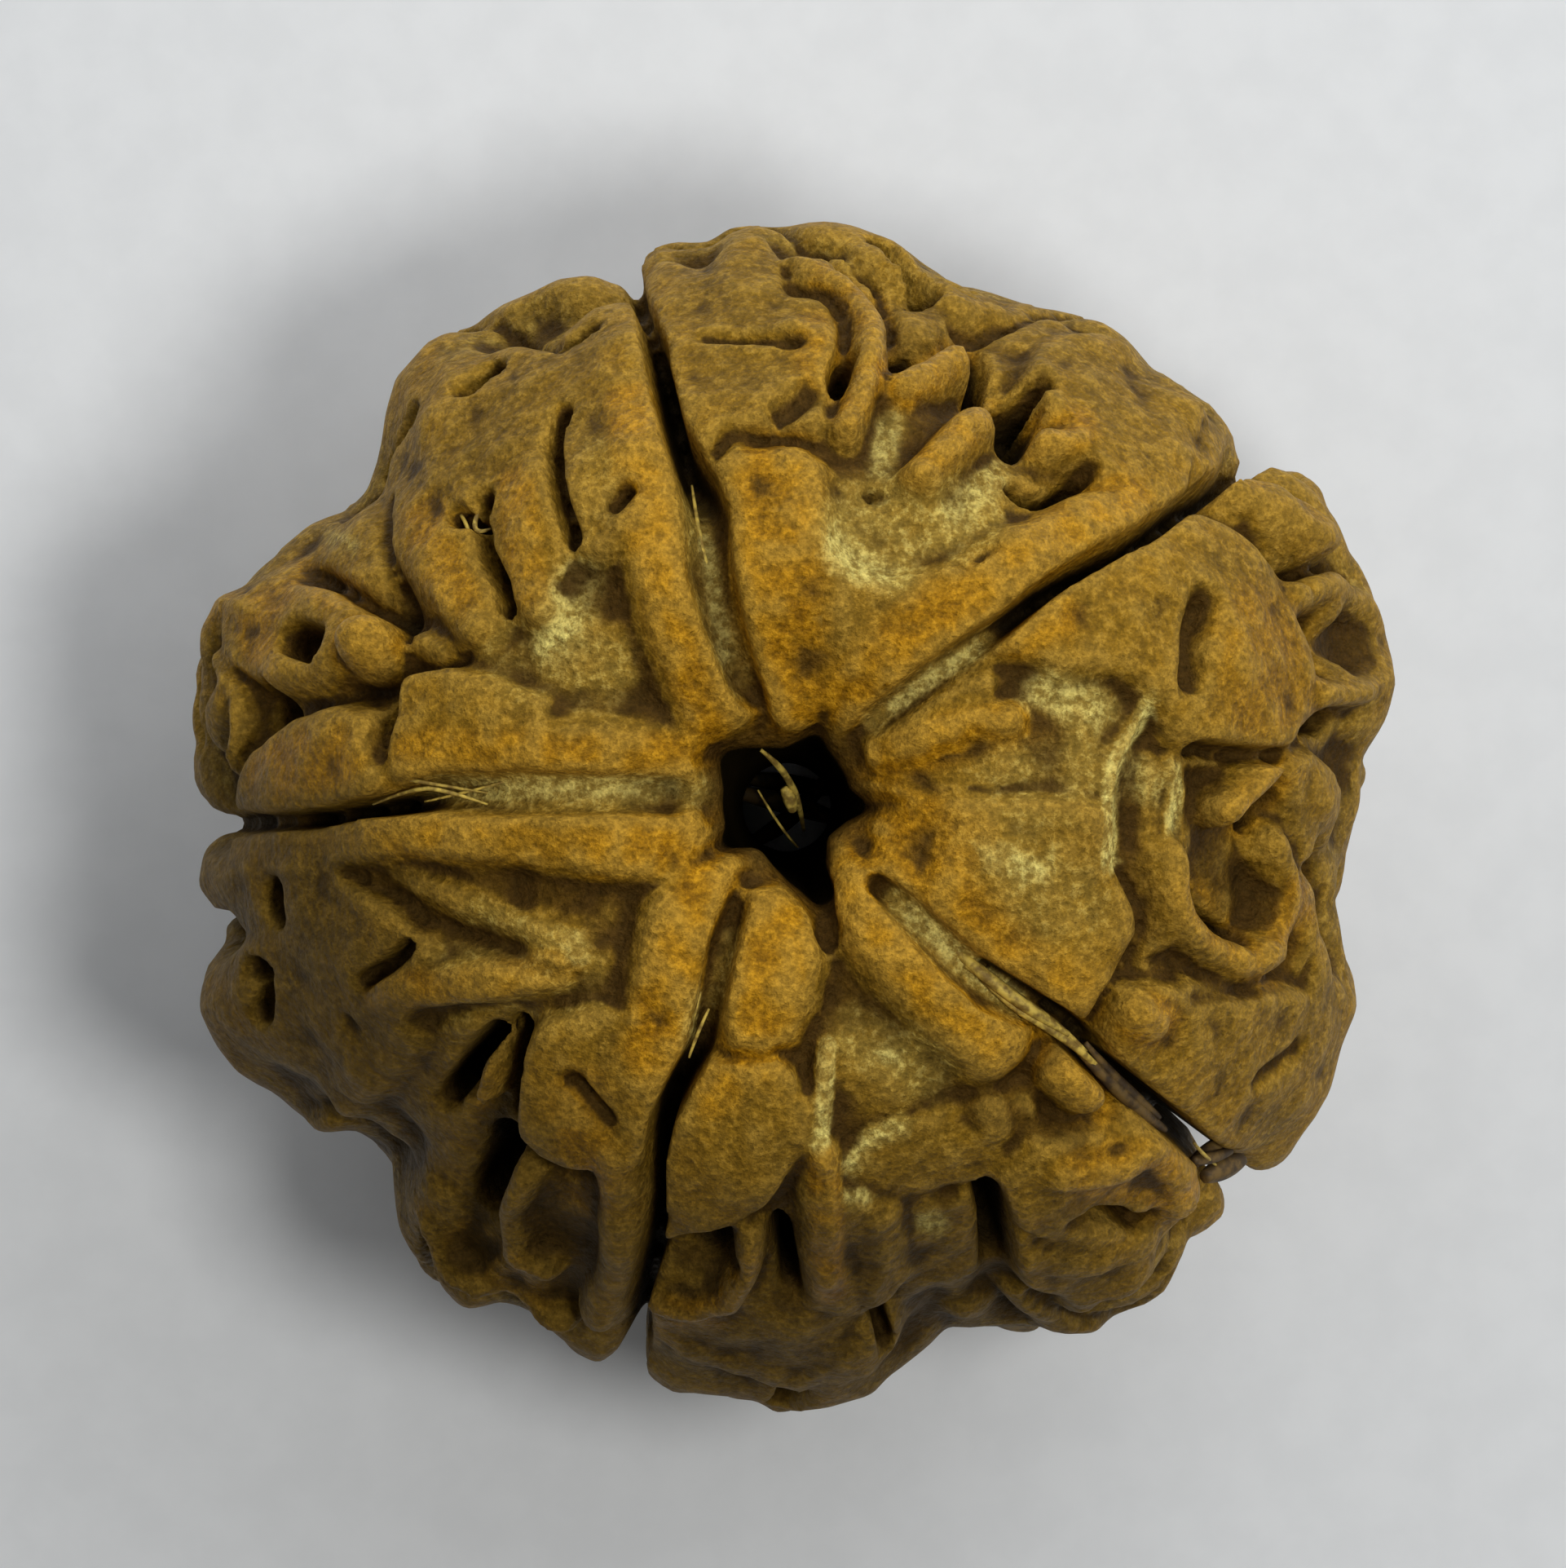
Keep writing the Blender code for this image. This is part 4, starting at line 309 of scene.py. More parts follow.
# Pegs, fingers and loops with upright sides, on the upper side: (level, width, points seen from above)
PEGS = [
    # North face
    (1.12, 0.95, [(0.1, 9.42), (0.6, 9.22), (1.15, 8.95), (1.45, 8.5), (1.5, 8.1), (1.42, 7.7)]),
    (1.12, 0.78, [(1.05, 6.65), (1.25, 7.1), (1.42, 7.5)]),
    (1.12, 0.85, [(2.05, 7.42), (2.55, 7.65), (3.0, 7.95)]),
    (1.2, 1.0, [(2.4, 5.85), (2.9, 6.35), (3.35, 6.75)]),
    (1.05, 1.0, [(4.65, 6.5), (5.1, 6.5)]),
    (1.08, 1.15, [(0.1, 8.35), (0.4, 8.3)]),
    # East face
    (0.98, 1.0, [(1.5, 0.85), (2.4, 1.2), (3.3, 1.45), (3.85, 1.5)]),
    (0.95, 0.9, [(6.95, -0.9), (6.9, -1.5), (7.1, -2.0), (7.6, -2.5), (8.2, -2.75), (8.7, -2.5),
                 (8.95, -2.0), (9.0, -1.3), (8.8, -0.7)]),
    (1.05, 0.75, [(7.8, -0.1), (8.2, 0.3), (8.6, 0.75)]),
    (1.05, 0.78, [(9.0, 3.75), (9.65, 3.9), (10.15, 3.45), (10.4, 2.8), (10.35, 2.2), (9.9, 1.95),
                  (9.4, 1.95)]),
    (1.2, 1.15, [(6.15, -3.6), (6.4, -3.8)]),
    # North-west face
    (1.45, 1.32, [(-7.42, 2.9), (-7.36, 2.92)]),
    (0.6, 0.7, [(-6.4, 3.0), (-6.0, 2.85)]),
    (0.9, 0.5, [(-9.8, 2.6), (-9.6, 2.0), (-9.6, 1.3), (-9.7, 0.7)]),
    # South-west face
    (0.95, 0.42, [(-5.38, -5.15), (-5.28, -4.75), (-5.15, -4.35)]),
    (1.0, 0.65, [(-6.3, -7.2), (-5.9, -7.8), (-5.2, -8.3), (-4.5, -8.75), (-3.9, -9.0)]),
    (1.05, 1.05, [(-3.1, -6.0), (-2.98, -6.8), (-2.95, -7.7), (-3.05, -8.4), (-3.35, -8.9)]),
    (1.0, 0.75, [(-4.65, -6.55), (-4.9, -7.15), (-4.75, -7.85), (-4.25, -8.2)]),
    # South face
    (1.0, 0.8, [(0.62, -6.1), (0.75, -6.8), (0.8, -7.6), (0.75, -8.3)]),
    (1.05, 0.7, [(-2.3, -8.75), (-1.6, -8.85), (-1.0, -8.7), (-0.72, -8.2), (-0.66, -7.6)]),
    (0.9, 0.7, [(1.6, -7.3), (1.75, -8.1), (1.45, -8.7)]),
    (1.1, 1.15, [(4.95, -4.75), (5.25, -5.05)]),
    (0.85, 0.95, [(3.6, -5.4), (3.7, -5.7)]),
]

# Pits and slots of the upper side: (depth, width, points seen from above)
PITS = [
    # Mouth of the bore: its two longest arms
    (1.6, 0.4, [(0.35, 0.9), (0.5, 1.5)]),
    (1.8, 0.45, [(0.5, -1.1), (0.82, -1.9)]),
    # North face
    (1.5, 0.42, [(0.88, 7.4), (1.02, 7.75)]),
    (1.4, 0.6, [(1.95, 7.9), (2.25, 8.25)]),
    (1.8, 0.34, [(3.35, 8.3), (3.5, 7.9), (3.42, 7.35)]),
    (2.3, 0.7, [(4.0, 6.6), (4.2, 7.05)]),
    (2.0, 0.5, [(3.9, 7.25), (4.4, 7.35)]),
    (1.0, 0.3, [(1.5, 5.6), (1.72, 5.52)]),
    (0.7, 0.2, [(2.95, 4.25), (3.3, 4.3), (3.6, 4.55)]),
    (1.1, 0.4, [(4.05, 5.75), (4.45, 5.6), (4.9, 5.7), (5.25, 5.9)]),
    # East face
    (1.3, 0.3, [(8.8, 4.15), (9.5, 4.2)]),
    (1.8, 0.5, [(9.38, 3.2), (9.42, 2.45)]),
    (1.0, 0.6, [(9.35, 1.45), (9.8, 1.45)]),
    (0.9, 0.34, [(7.2, 1.0), (7.9, 0.88), (8.7, 0.85)]),
    (1.4, 0.36, [(7.5, -1.7), (7.75, -2.05), (8.15, -2.25)]),
    (1.0, 0.36, [(8.45, -0.35), (8.6, 0.1)]),
    (0.6, 0.22, [(9.05, -2.7), (9.0, -3.0)]),
    (1.3, 0.28, [(3.4, -2.75), (4.2, -3.25), (5.0, -3.75), (5.6, -4.3)]),
    # North-west face
    (1.5, 0.34, [(-3.85, 6.8), (-4.05, 6.3), (-4.0, 5.8), (-3.9, 5.3), (-3.7, 4.6)]),
    (1.9, 0.55, [(-5.1, 7.55), (-5.45, 7.15)]),
    (1.7, 0.36, [(-5.2, 5.3), (-5.3, 4.9), (-5.25, 4.4), (-5.0, 3.9), (-4.9, 3.5)]),
    (1.3, 0.4, [(-5.55, 4.95), (-5.65, 5.0)]),
    (0.7, 0.35, [(-2.95, 5.2), (-2.75, 5.45)]),
    (3.0, 0.7, [(-8.5, 2.95), (-8.15, 2.85)]),
    (1.0, 0.3, [(-7.0, 2.2), (-7.12, 1.4), (-7.05, 0.9)]),
    (0.9, 0.24, [(-6.5, 2.5), (-5.95, 2.6), (-5.6, 2.78)]),
    (1.7, 0.66, [(-9.1, 1.6), (-9.1, 1.95)]),
    (1.1, 0.6, [(-10.1, 2.2), (-10.1, 1.1)]),
    # South-west face
    (1.6, 0.64, [(-8.86, -1.5), (-8.84, -1.8)]),
    (1.1, 0.32, [(-7.3, -3.0), (-6.9, -2.75), (-6.55, -2.4)]),
    (1.5, 0.5, [(-9.1, -2.78), (-8.95, -2.85), (-8.9, -3.1), (-8.92, -3.5)]),
    (0.8, 0.7, [(-10.0, -2.0), (-9.7, -2.2)]),
    (2.2, 0.55, [(-4.78, -4.0), (-4.82, -4.9), (-4.95, -5.6)]),
    (2.7, 1.0, [(-5.2, -6.2), (-5.45, -7.0)]),
    (1.8, 0.42, [(-5.25, -4.1), (-5.75, -4.75), (-6.1, -5.25)]),
    (0.8, 0.24, [(-3.55, -4.8), (-3.15, -5.35)]),
    (1.2, 0.3, [(-6.15, -7.3), (-5.95, -7.95)]),
    # South face
    (1.8, 0.75, [(-1.45, -7.95), (-1.15, -7.9)]),
    (1.9, 0.42, [(-0.1, -7.6), (0.02, -8.15), (0.12, -8.65)]),
    (1.2, 0.3, [(1.6, -8.8), (1.75, -9.3)]),
    (0.7, 0.28, [(2.85, -6.95), (3.0, -6.9)]),
    (1.6, 0.55, [(3.5, -6.8), (3.65, -7.2), (3.7, -7.6), (3.7, -8.2)]),
    (1.2, 0.38, [(5.2, -7.0), (5.6, -6.98), (6.0, -7.15)]),
]

# Creases and dents of the upper side: (depth, width, points seen from above)
CREASES = [
    # North face
    (0.55, 0.4, [(-1.4, 8.1), (-0.6, 8.08), (0.2, 8.0)]),
    (0.8, 0.26, [(-0.02, 9.2), (0.1, 9.0), (0.6, 8.88), (0.95, 8.6), (1.0, 8.1), (0.9, 7.6)]),
    (0.65, 0.36, [(-1.25, 6.15), (-0.95, 6.45), (-0.3, 6.52), (0.5, 6.4)]),
    (0.45, 0.8, [(-0.1, 6.75), (0.4, 7.15)]),
    (0.5, 0.25, [(7.1, 6.5), (7.0, 5.7)]),
    (0.6, 0.3, [(3.0, 8.6), (3.5, 8.45), (4.0, 8.45), (4.6, 8.5), (5.4, 8.35), (6.1, 8.1)]),
    (0.7, 0.34, [(-2.3, 9.8), (-1.6, 9.72), (-0.4, 9.98), (0.3, 9.8), (1.0, 9.6), (1.7, 9.2), (2.0, 8.6)]),
    # East face
    (0.6, 0.85, [(7.15, 3.5), (7.0, 2.9), (6.95, 2.2)]),
    (0.55, 0.3, [(8.0, 5.0), (8.5, 4.45), (9.0, 3.75)]),
    (0.45, 0.35, [(5.85, -0.9), (6.3, -1.7), (6.4, -2.2), (6.1, -2.9)]),
    (0.6, 0.38, [(5.5, -3.9), (5.55, -3.3), (5.95, -2.95), (6.9, -3.0)]),
    (0.5, 0.3, [(7.1, -3.3), (8.2, -3.2)]),
    (0.3, 0.6, [(8.8, -4.1), (8.1, -4.7)]),
    (0.45, 0.6, [(9.3, -0.7), (9.5, -1.2)]),
    # North-west face
    (0.8, 0.34, [(-6.7, 7.9), (-5.9, 8.4), (-5.0, 8.4), (-4.3, 8.25), (-3.9, 7.95), (-3.3, 8.2)]),
    (0.7, 0.34, [(-9.0, 4.3), (-8.1, 4.15), (-7.5, 3.75), (-6.8, 3.6)]),
    (0.7, 0.3, [(-6.95, 3.55), (-6.74, 3.1), (-6.8, 2.5), (-7.2, 2.2), (-7.9, 2.2)]),
    (0.4, 0.35, [(-6.95, 5.4), (-6.95, 4.4), (-6.8, 3.7)]),
    # South-west face
    (0.6, 0.35, [(-7.6, -1.15), (-7.2, -1.45), (-6.8, -1.7), (-6.4, -2.1)]),
    (0.3, 0.5, [(-6.2, -2.1), (-5.0, -2.5), (-4.0, -2.9)]),
    (0.5, 0.5, [(-3.7, -4.7), (-3.1, -5.35)]),
    (0.5, 0.22, [(-7.6, -3.6), (-7.45, -3.9)]),
    # South face
    (0.4, 0.25, [(1.15, -7.6), (1.3, -8.7)]),
    (0.45, 0.3, [(4.0, -7.3), (4.5, -7.5)]),
    (0.45, 0.5, [(4.9, -7.1), (6.2, -7.0)]),
    (0.4, 0.25, [(0.3, -4.4), (0.3, -5.0)]),
    (0.5, 0.3, [(4.2, -8.55), (5.0, -8.72), (5.8, -8.45), (6.5, -7.9)]),
]

# The rule for the flanks and the underside, from this far above the equator
SEED = 31
FLANK_TOP = 3.9
FLANK_GROOVE_WIDTH = 0.6
FLANK_GROOVE_DEPTH = 1.6
FLANK_GROOVE_STEPS = 24
FLANK_SWAY = 2.2
OPEN_GROOVE = "south_east"
OPEN_DEPTH = 1.5
OPEN_UNTIL = 0.7
BANK_OFFSET = 0.82
BANK_WIDTH = 1.15
BANK_LENGTHS = (4, 11)
BANK_HEIGHTS = (0.65, 1.0)
RIDGE_SPACING = 1.42
RIDGE_STEP = 0.45
RIDGE_LENGTHS = (1.2, 6.0)
RIDGE_WIDTHS = (1.2, 1.6)
RIDGE_HEIGHTS = (0.6, 0.98)
RIDGE_CLEAR_OF_GROOVES = 1.75
RIDGE_ATTEMPTS = 6500
PITS_ON_FLANKS = 58
PIT_LENGTHS = (0.1, 1.3)
PIT_WIDTHS = (0.35, 0.6)
PIT_DEPTHS = (0.8, 1.6)

# The bead stands on low pads round the lower mouth of the bore, worn level by this much
PAD_RADIUS = 3.4
PAD_HEIGHT = 1.15
PAD_WIDTH = 1.7
WORN_LEVEL = 0.2


def smoothstep(share):
    share = np.clip(share, 0.0, 1.0)
    return share * share * (3.0 - 2.0 * share)


def resampled(corners, count, closed):
    """Points at even spacing along a smooth curve through the corners."""
    corners = np.array(corners, float)
    if closed:
        padded = np.vstack([corners[-1:], corners, corners[:2]])
    else:
        padded = np.vstack([2 * corners[0] - corners[1], corners, 2 * corners[-1] - corners[-2]])
    share = np.linspace(0.0, 1.0, 24, endpoint=False)[:, None]
    pieces = []
    for a, b, c, d in zip(padded, padded[1:], padded[2:], padded[3:]):
        pieces.append(0.5 * (2 * b + (c - a) * share + (2 * a - 5 * b + 4 * c - d) * share**2
                             + (3 * b - a - 3 * c + d) * share**3))
    dense = np.vstack(pieces + [padded[-2:-1]])
    along = np.concatenate([[0.0], np.cumsum(np.linalg.norm(np.diff(dense, axis=0), axis=1))])
    at = np.linspace(0.0, along[-1], count, endpoint=not closed)
    return np.stack([np.interp(at, along, dense[:, axis]) for axis in range(corners.shape[1])], axis=1)


def azimuth_of(x, y):
    return np.degrees(np.arctan2(y, x)) % 360.0


def rim_radius(azimuth):
    """Radius of the outline seen from above."""
    rim = np.array(RIM)
    angles = azimuth_of(rim[:, 0], rim[:, 1])
    order = np.argsort(angles)
    return np.interp(azimuth, angles[order], np.hypot(rim[:, 0], rim[:, 1])[order], period=360.0)


def eased_table():
    """The outline with its knobs eased away, one radius a degree."""
    degrees = np.arange(360.0)
    radii = rim_radius(degrees)
    gap = (degrees + 180.0) % 360.0 - 180.0
    weights = np.exp(-0.5 * (gap / RIM_EASE_DEGREES) ** 2)
    weights /= weights.sum()
    return np.real(np.fft.ifft(np.fft.fft(radii) * np.fft.fft(weights)))


EASED = eased_table()
SKIN_LINE = resampled(SKIN, 400, False)
SKIN_LENGTH = float(np.linalg.norm(np.diff(SKIN_LINE, axis=0), axis=1).sum())
WIDEST = int(np.argmax(SKIN_LINE[:, 0]))
EQUATOR = WIDEST * SKIN_LENGTH / (len(SKIN_LINE) - 1)


def swelled(azimuth, radius):
    """Where the lobed outline puts a radius of the turned section."""
    eased = np.interp(azimuth, np.arange(360.0), EASED, period=360.0)
    share = smoothstep((radius - LOBED_FROM) / (LOBED_FULLY - LOBED_FROM))
    return radius * (1.0 + share * (eased / SKIN_RADIUS - 1.0))


def seen_from_above(x, y, drop=0.0):
    """The point of the upper skin whose place, that far down its normal, is seen from above at (x, y)."""
    upper = SKIN_LINE[:WIDEST + 1]
    step = np.gradient(upper, axis=0)
    outward = -step[:, 1] / np.hypot(step[:, 0], step[:, 1])
    radii = swelled(azimuth_of(x, y), upper[:, 0])
    seen = np.maximum.accumulate(radii - drop * outward)
    radius = math.hypot(x, y)
    out = float(np.interp(radius, seen, radii)) / radius
    return x * out, y * out, float(np.interp(radius, seen, upper[:, 1]))


def on_skin(azimuth, station):
    """The point of the skin at an azimuth and a distance along the section from the upper mouth."""
    spacing = SKIN_LENGTH / (len(SKIN_LINE) - 1)
    radius = np.interp(station / spacing, np.arange(len(SKIN_LINE)), SKIN_LINE[:, 0])
    height = np.interp(station / spacing, np.arange(len(SKIN_LINE)), SKIN_LINE[:, 1])
    out = swelled(azimuth, radius)
    angle = math.radians(azimuth)
    return np.array([out * math.cos(angle), out * math.sin(angle), height])


def turned_body():
    """The section turned round the axis of the bore, its outline swelled and its mouth drawn into a star."""
    section = resampled(SKIN + BORE, SECTION_POINTS, True)
    profile = bpy.data.meshes.new("section")
    count = len(section)
    edges = [(i, (i + 1) % count) for i in range(count)]
    profile.from_pydata([(radius, 0.0, height) for radius, height in section], edges, [])
    turned = bpy.data.objects.new("section", profile)
    bpy.context.scene.collection.objects.link(turned)
    screw = turned.modifiers.new("Turn", "SCREW")
    screw.axis = "Z"
    screw.steps = TURN_STEPS
    screw.render_steps = TURN_STEPS
    screw.use_merge_vertices = True
    screw.merge_threshold = 0.0001
    mesh = evaluated_mesh(turned)
    bpy.data.objects.remove(turned)
    points = points_of(mesh)
    azimuth = azimuth_of(points[:, 0], points[:, 1])
    radius = np.hypot(points[:, 0], points[:, 1])
    out = swelled(azimuth, radius)
    angles, arms = zip(*STAR)
    mouth = SKIN[0][0]
    star = np.interp(azimuth, angles, arms, period=360.0) / mouth
    near = 1.0 - smoothstep((radius - mouth) / (STAR_REACH - mouth))
    deep = smoothstep((points[:, 2] - (SKIN[0][1] - STAR_DEPTH)) / STAR_DEPTH)
    out *= 1.0 + near * deep * (star - 1.0)
    points[:, :2] *= (out / radius)[:, None]
    put_points(mesh, points)
    return mesh


def evaluated_mesh(obj):
    graph = bpy.context.evaluated_depsgraph_get()
    return bpy.data.meshes.new_from_object(obj.evaluated_get(graph))


def points_of(mesh):
    points = np.empty(len(mesh.vertices) * 3, np.float32)
    mesh.vertices.foreach_get("co", points)
    return points.reshape(-1, 3).astype(float)


def normals_of(mesh):
    normals = np.empty(len(mesh.vertices) * 3, np.float32)
    mesh.vertex_normals.foreach_get("vector", normals)
    return normals.reshape(-1, 3).astype(float)


def put_points(mesh, points):
    mesh.vertices.foreach_set("co", points.astype(np.float32).ravel())
    mesh.update()


def along_stroke(points, path, widths, values, reach=1.0):
    """Share of the half width, and the value there, at each point's nearest place on a path, or 9 far off."""
    path = np.array(path, float)
    reach *= max(widths) / 2
    best = np.full(len(points), 9.0)
    value = np.zeros(len(points))
    low, high = path.min(axis=0) - reach, path.max(axis=0) + reach
    near = np.nonzero(((points > low) & (points < high)).all(axis=1))[0]
    local = points[near]
    for i in range(len(path) - 1):
        step = path[i + 1] - path[i]
        share = np.clip((local - path[i]) @ step / max(step @ step, 1e-9), 0.0, 1.0)
        distance = np.linalg.norm(local - path[i] - share[:, None] * step, axis=1)
        width = widths[i] + share * (widths[i + 1] - widths[i])
        part = 2.0 * distance / width
        closer = part < best[near]
        best[near[closer]] = part[closer]
        value[near[closer]] = (values[i] + share * (values[i + 1] - values[i]))[closer]
    return best, value


def plate_share(points, outline, edge):
    """How much of a plate's level each point gets, falling from all to none across its edge."""
    corners = np.array(outline, float)
    low, high = corners.min(axis=0) - edge, corners.max(axis=0) + edge
    inside_box = (points[:, 2] > 0) & (points[:, :2] > low).all(axis=1) & (points[:, :2] < high).all(axis=1)
    near = np.nonzero(inside_box)[0]
    local = points[near, :2]
    distance = np.full(len(near), 9.0)
    inside = np.zeros(len(near), bool)
    for start, end in zip(corners, np.roll(corners, -1, axis=0)):
        step = end - start
        share = np.clip((local - start) @ step / (step @ step), 0.0, 1.0)
        distance = np.minimum(distance, np.linalg.norm(local - start - share[:, None] * step, axis=1))
        crosses = (start[1] > local[:, 1]) != (end[1] > local[:, 1])
        rise = np.where(crosses, (local[:, 1] - start[1]) / (step[1] if step[1] else 1.0), 0.0)
        inside ^= crosses & (local[:, 0] < start[0] + rise * step[0])
    result = np.zeros(len(points))
    signed = np.where(inside, distance, -distance)
    result[near] = smoothstep(EDGE_SHARE + signed / edge)
    return result


def upright(share):
    """Height of a peg with upright sides across its half width."""
    return np.where(share < 1.0, np.clip(1.0 - np.minimum(share, 1.0) ** 2.4, 0.0, 1.0) ** 0.6, 0.0)


def sloping(share):
    """Height of a ridge with sloping sides across its half width and as far again."""
    return smoothstep(1.35 - 0.9 * share)


def walled(share):
    """Depth of a steep-walled cut across its half width."""
    return np.where(share < 1.0, 1.0 - np.minimum(share, 1.0) ** 4, 0.0)


def melted(first, second):
    """The higher of two surfaces, run together where they meet."""
    near = np.clip(MELTED - np.abs(first - second), 0.0, None) / MELTED
    return np.maximum(first, second) + near * near * MELTED / 4.0


def flank_groove(name):
    """A groove's course from the rim round the underside to the lower mouth, as points with width and depth.

    The open groove is deeper at the rim, so that the floor shows through it from above."""
    end = GROOVES[name][-1]
    azimuth = float(azimuth_of(end[0], end[1]))
    course = []
    for i in range(FLANK_GROOVE_STEPS + 1):
        share = i / FLANK_GROOVE_STEPS
        station = EQUATOR + share * (SKIN_LENGTH - EQUATOR)
        sway = FLANK_SWAY * math.sin(share * 7.0 + azimuth) * float(smoothstep(share * 5.0))
        width = FLANK_GROOVE_WIDTH * (1.0 + 0.25 * math.sin(share * 19.0 + azimuth))
        depth = FLANK_GROOVE_DEPTH
        if name == OPEN_GROOVE:
            depth += OPEN_DEPTH * float(smoothstep((OPEN_UNTIL - share) / 0.3))
        course.append((on_skin(azimuth + sway, station), width, depth))
    return course


def groove_strokes():
    """All five grooves, each as (points, widths, depths)."""
    strokes = []
    for name, marks in GROOVES.items():
        course = [(np.array(seen_from_above(x, y)), width, depth) for x, y, width, depth in marks]
        course += flank_groove(name)
        strokes.append(tuple(zip(*course)))
    return strokes


def clear_of(point, others, spacing):
    return not len(others) or np.min(np.linalg.norm(others - point, axis=1)) > spacing


def groove_banks(rng):
    """Broken ridges that follow both sides of each groove down the flank and under the bead."""
    strokes = []
    for name in GROOVES:
        course = resampled(np.array([point for point, _, _ in flank_groove(name)]), 60, False)
        for side in (-1.0, 1.0):
            start = 0
            while start < len(course) - 4:
                count = rng.randint(*BANK_LENGTHS)
                path = []
                for point in course[start:start + count]:
                    radius = math.hypot(point[0], point[1])
                    turn = side * (BANK_OFFSET + rng.gauss(0.0, 0.05)) / max(radius, 2.2)
                    path.append(Matrix.Rotation(turn, 3, "Z") @ Vector(point))
                if len(path) > 2:
                    widths = [BANK_WIDTH * rng.uniform(0.8, 1.15) for _ in path]
                    strokes.append((path, widths, [rng.uniform(*BANK_HEIGHTS)] * len(path)))
                start += count + rng.randint(1, 3)
    return strokes


def flank_ridges(rng, grooves):
    """Ridges that wander over the flanks and the underside, clear of each other and of the grooves."""
    groove_points = np.vstack([resampled(np.array(points), 160, False) for points, _, _ in grooves])
    taken = []
    strokes = []
    for attempt in range(RIDGE_ATTEMPTS):
        azimuth = rng.uniform(0.0, 360.0)
        station = rng.uniform(EQUATOR - FLANK_TOP, SKIN_LENGTH - 0.6)
        heading = rng.gauss(90.0, 40.0)
        goal = rng.uniform(*RIDGE_LENGTHS)
        path = []
        while len(path) * RIDGE_STEP < goal and EQUATOR - FLANK_TOP <= station < SKIN_LENGTH - 0.4:
            point = on_skin(azimuth, station)
            near_groove = not clear_of(point, groove_points, RIDGE_CLEAR_OF_GROOVES)
            if near_groove or not clear_of(point, np.array(taken), RIDGE_SPACING):
                break
            path.append(point)
            heading += rng.gauss(0.0, 16.0)
            across = RIDGE_STEP * math.cos(math.radians(heading))
            azimuth += math.degrees(across / max(1.0, math.hypot(point[0], point[1])))
            station += RIDGE_STEP * math.sin(math.radians(heading))
        if not path:
            continue
        if len(path) == 1:
            path.append(path[0] + 0.1)
        taken += path
        width = rng.uniform(*RIDGE_WIDTHS)
        widths = [width * rng.uniform(0.85, 1.15) for _ in path]
        strokes.append((path, widths, [rng.uniform(*RIDGE_HEIGHTS)] * len(path)))
    return strokes


def flank_pits(rng):
    """Small deep pits scattered over the flanks and the underside."""
    strokes = []
    for pit in range(PITS_ON_FLANKS):
        azimuth = rng.uniform(0.0, 360.0)
        station = rng.uniform(EQUATOR - 0.7 * FLANK_TOP, SKIN_LENGTH - 1.5)
        length = rng.uniform(*PIT_LENGTHS)
        width = rng.uniform(*PIT_WIDTHS)
        start = on_skin(azimuth, station)
        end = on_skin(azimuth + rng.gauss(0.0, 4.0), station + length)
        strokes.append(([start, end], [width, width * 0.8], [rng.uniform(*PIT_DEPTHS)] * 2))
    return strokes


def pad_strokes():
    """One low pad under each face, on which the bead stands."""
    strokes = []
    for degrees in sorted(azimuth_of(*marks[-1][:2]) for marks in GROOVES.values()):
        azimuth = float(degrees) + 36.0
        station = SKIN_LENGTH - (PAD_RADIUS - SKIN[-1][0])
        start, end = on_skin(azimuth, station - 0.5), on_skin(azimuth, station + 0.5)
        strokes.append(([start, end], [PAD_WIDTH] * 2, [PAD_HEIGHT] * 2))
    return strokes


def upper_strokes(marks, drop=None):
    """Strokes of the upper side as (points, widths, values), from (value, width, places seen from above).

    Without a drop, the values are levels, and each stroke is seen at its own."""
    strokes = []
    for value, width, places in marks:
        fall = max(0.0, CREST - value) if drop is None else drop
        points = [np.array(seen_from_above(x, y, fall)) for x, y in places]
        strokes.append((points, [width] * len(points), [value] * len(points)))
    return strokes


def levels(points, normals):
    """Level that the plates, ridges and pegs give each point of the skin."""
    rng = random.Random(SEED)
    radius = np.hypot(points[:, 0], points[:, 1])
    start, end = MIDDLE_REACH
    outer = np.where(points[:, 2] > 0, smoothstep((radius - start) / (end - start)), 1.0)
    level = MIDDLE_LEVEL + outer * (OUTER_LEVEL - MIDDLE_LEVEL)
    band = smoothstep(1.5 - 1.5 * np.abs(points[:, 2] - BAND_MIDDLE) / BAND_REACH)
    level = np.maximum(level, BAND_LEVEL * band)
    for height, edge, outline in PLATES:
        share = plate_share(points - normals * max(0.0, CREST - height), outline, edge)
        level = np.where(share > 0, melted(level, height * share), level)
    flank = groove_banks(rng) + flank_ridges(rng, groove_strokes()) + pad_strokes()
    raised = [(upper_strokes(RIDGES), sloping, 1.5), (upper_strokes(PEGS) + flank, upright, 1.0)]
    for strokes, profile, reach in raised:
        for path, widths, heights in strokes:
            share, height = along_stroke(points, path, widths, heights, reach)
            shaped = height * profile(share)
            level = np.where(shaped > 0, melted(level, shaped), level)
    return level


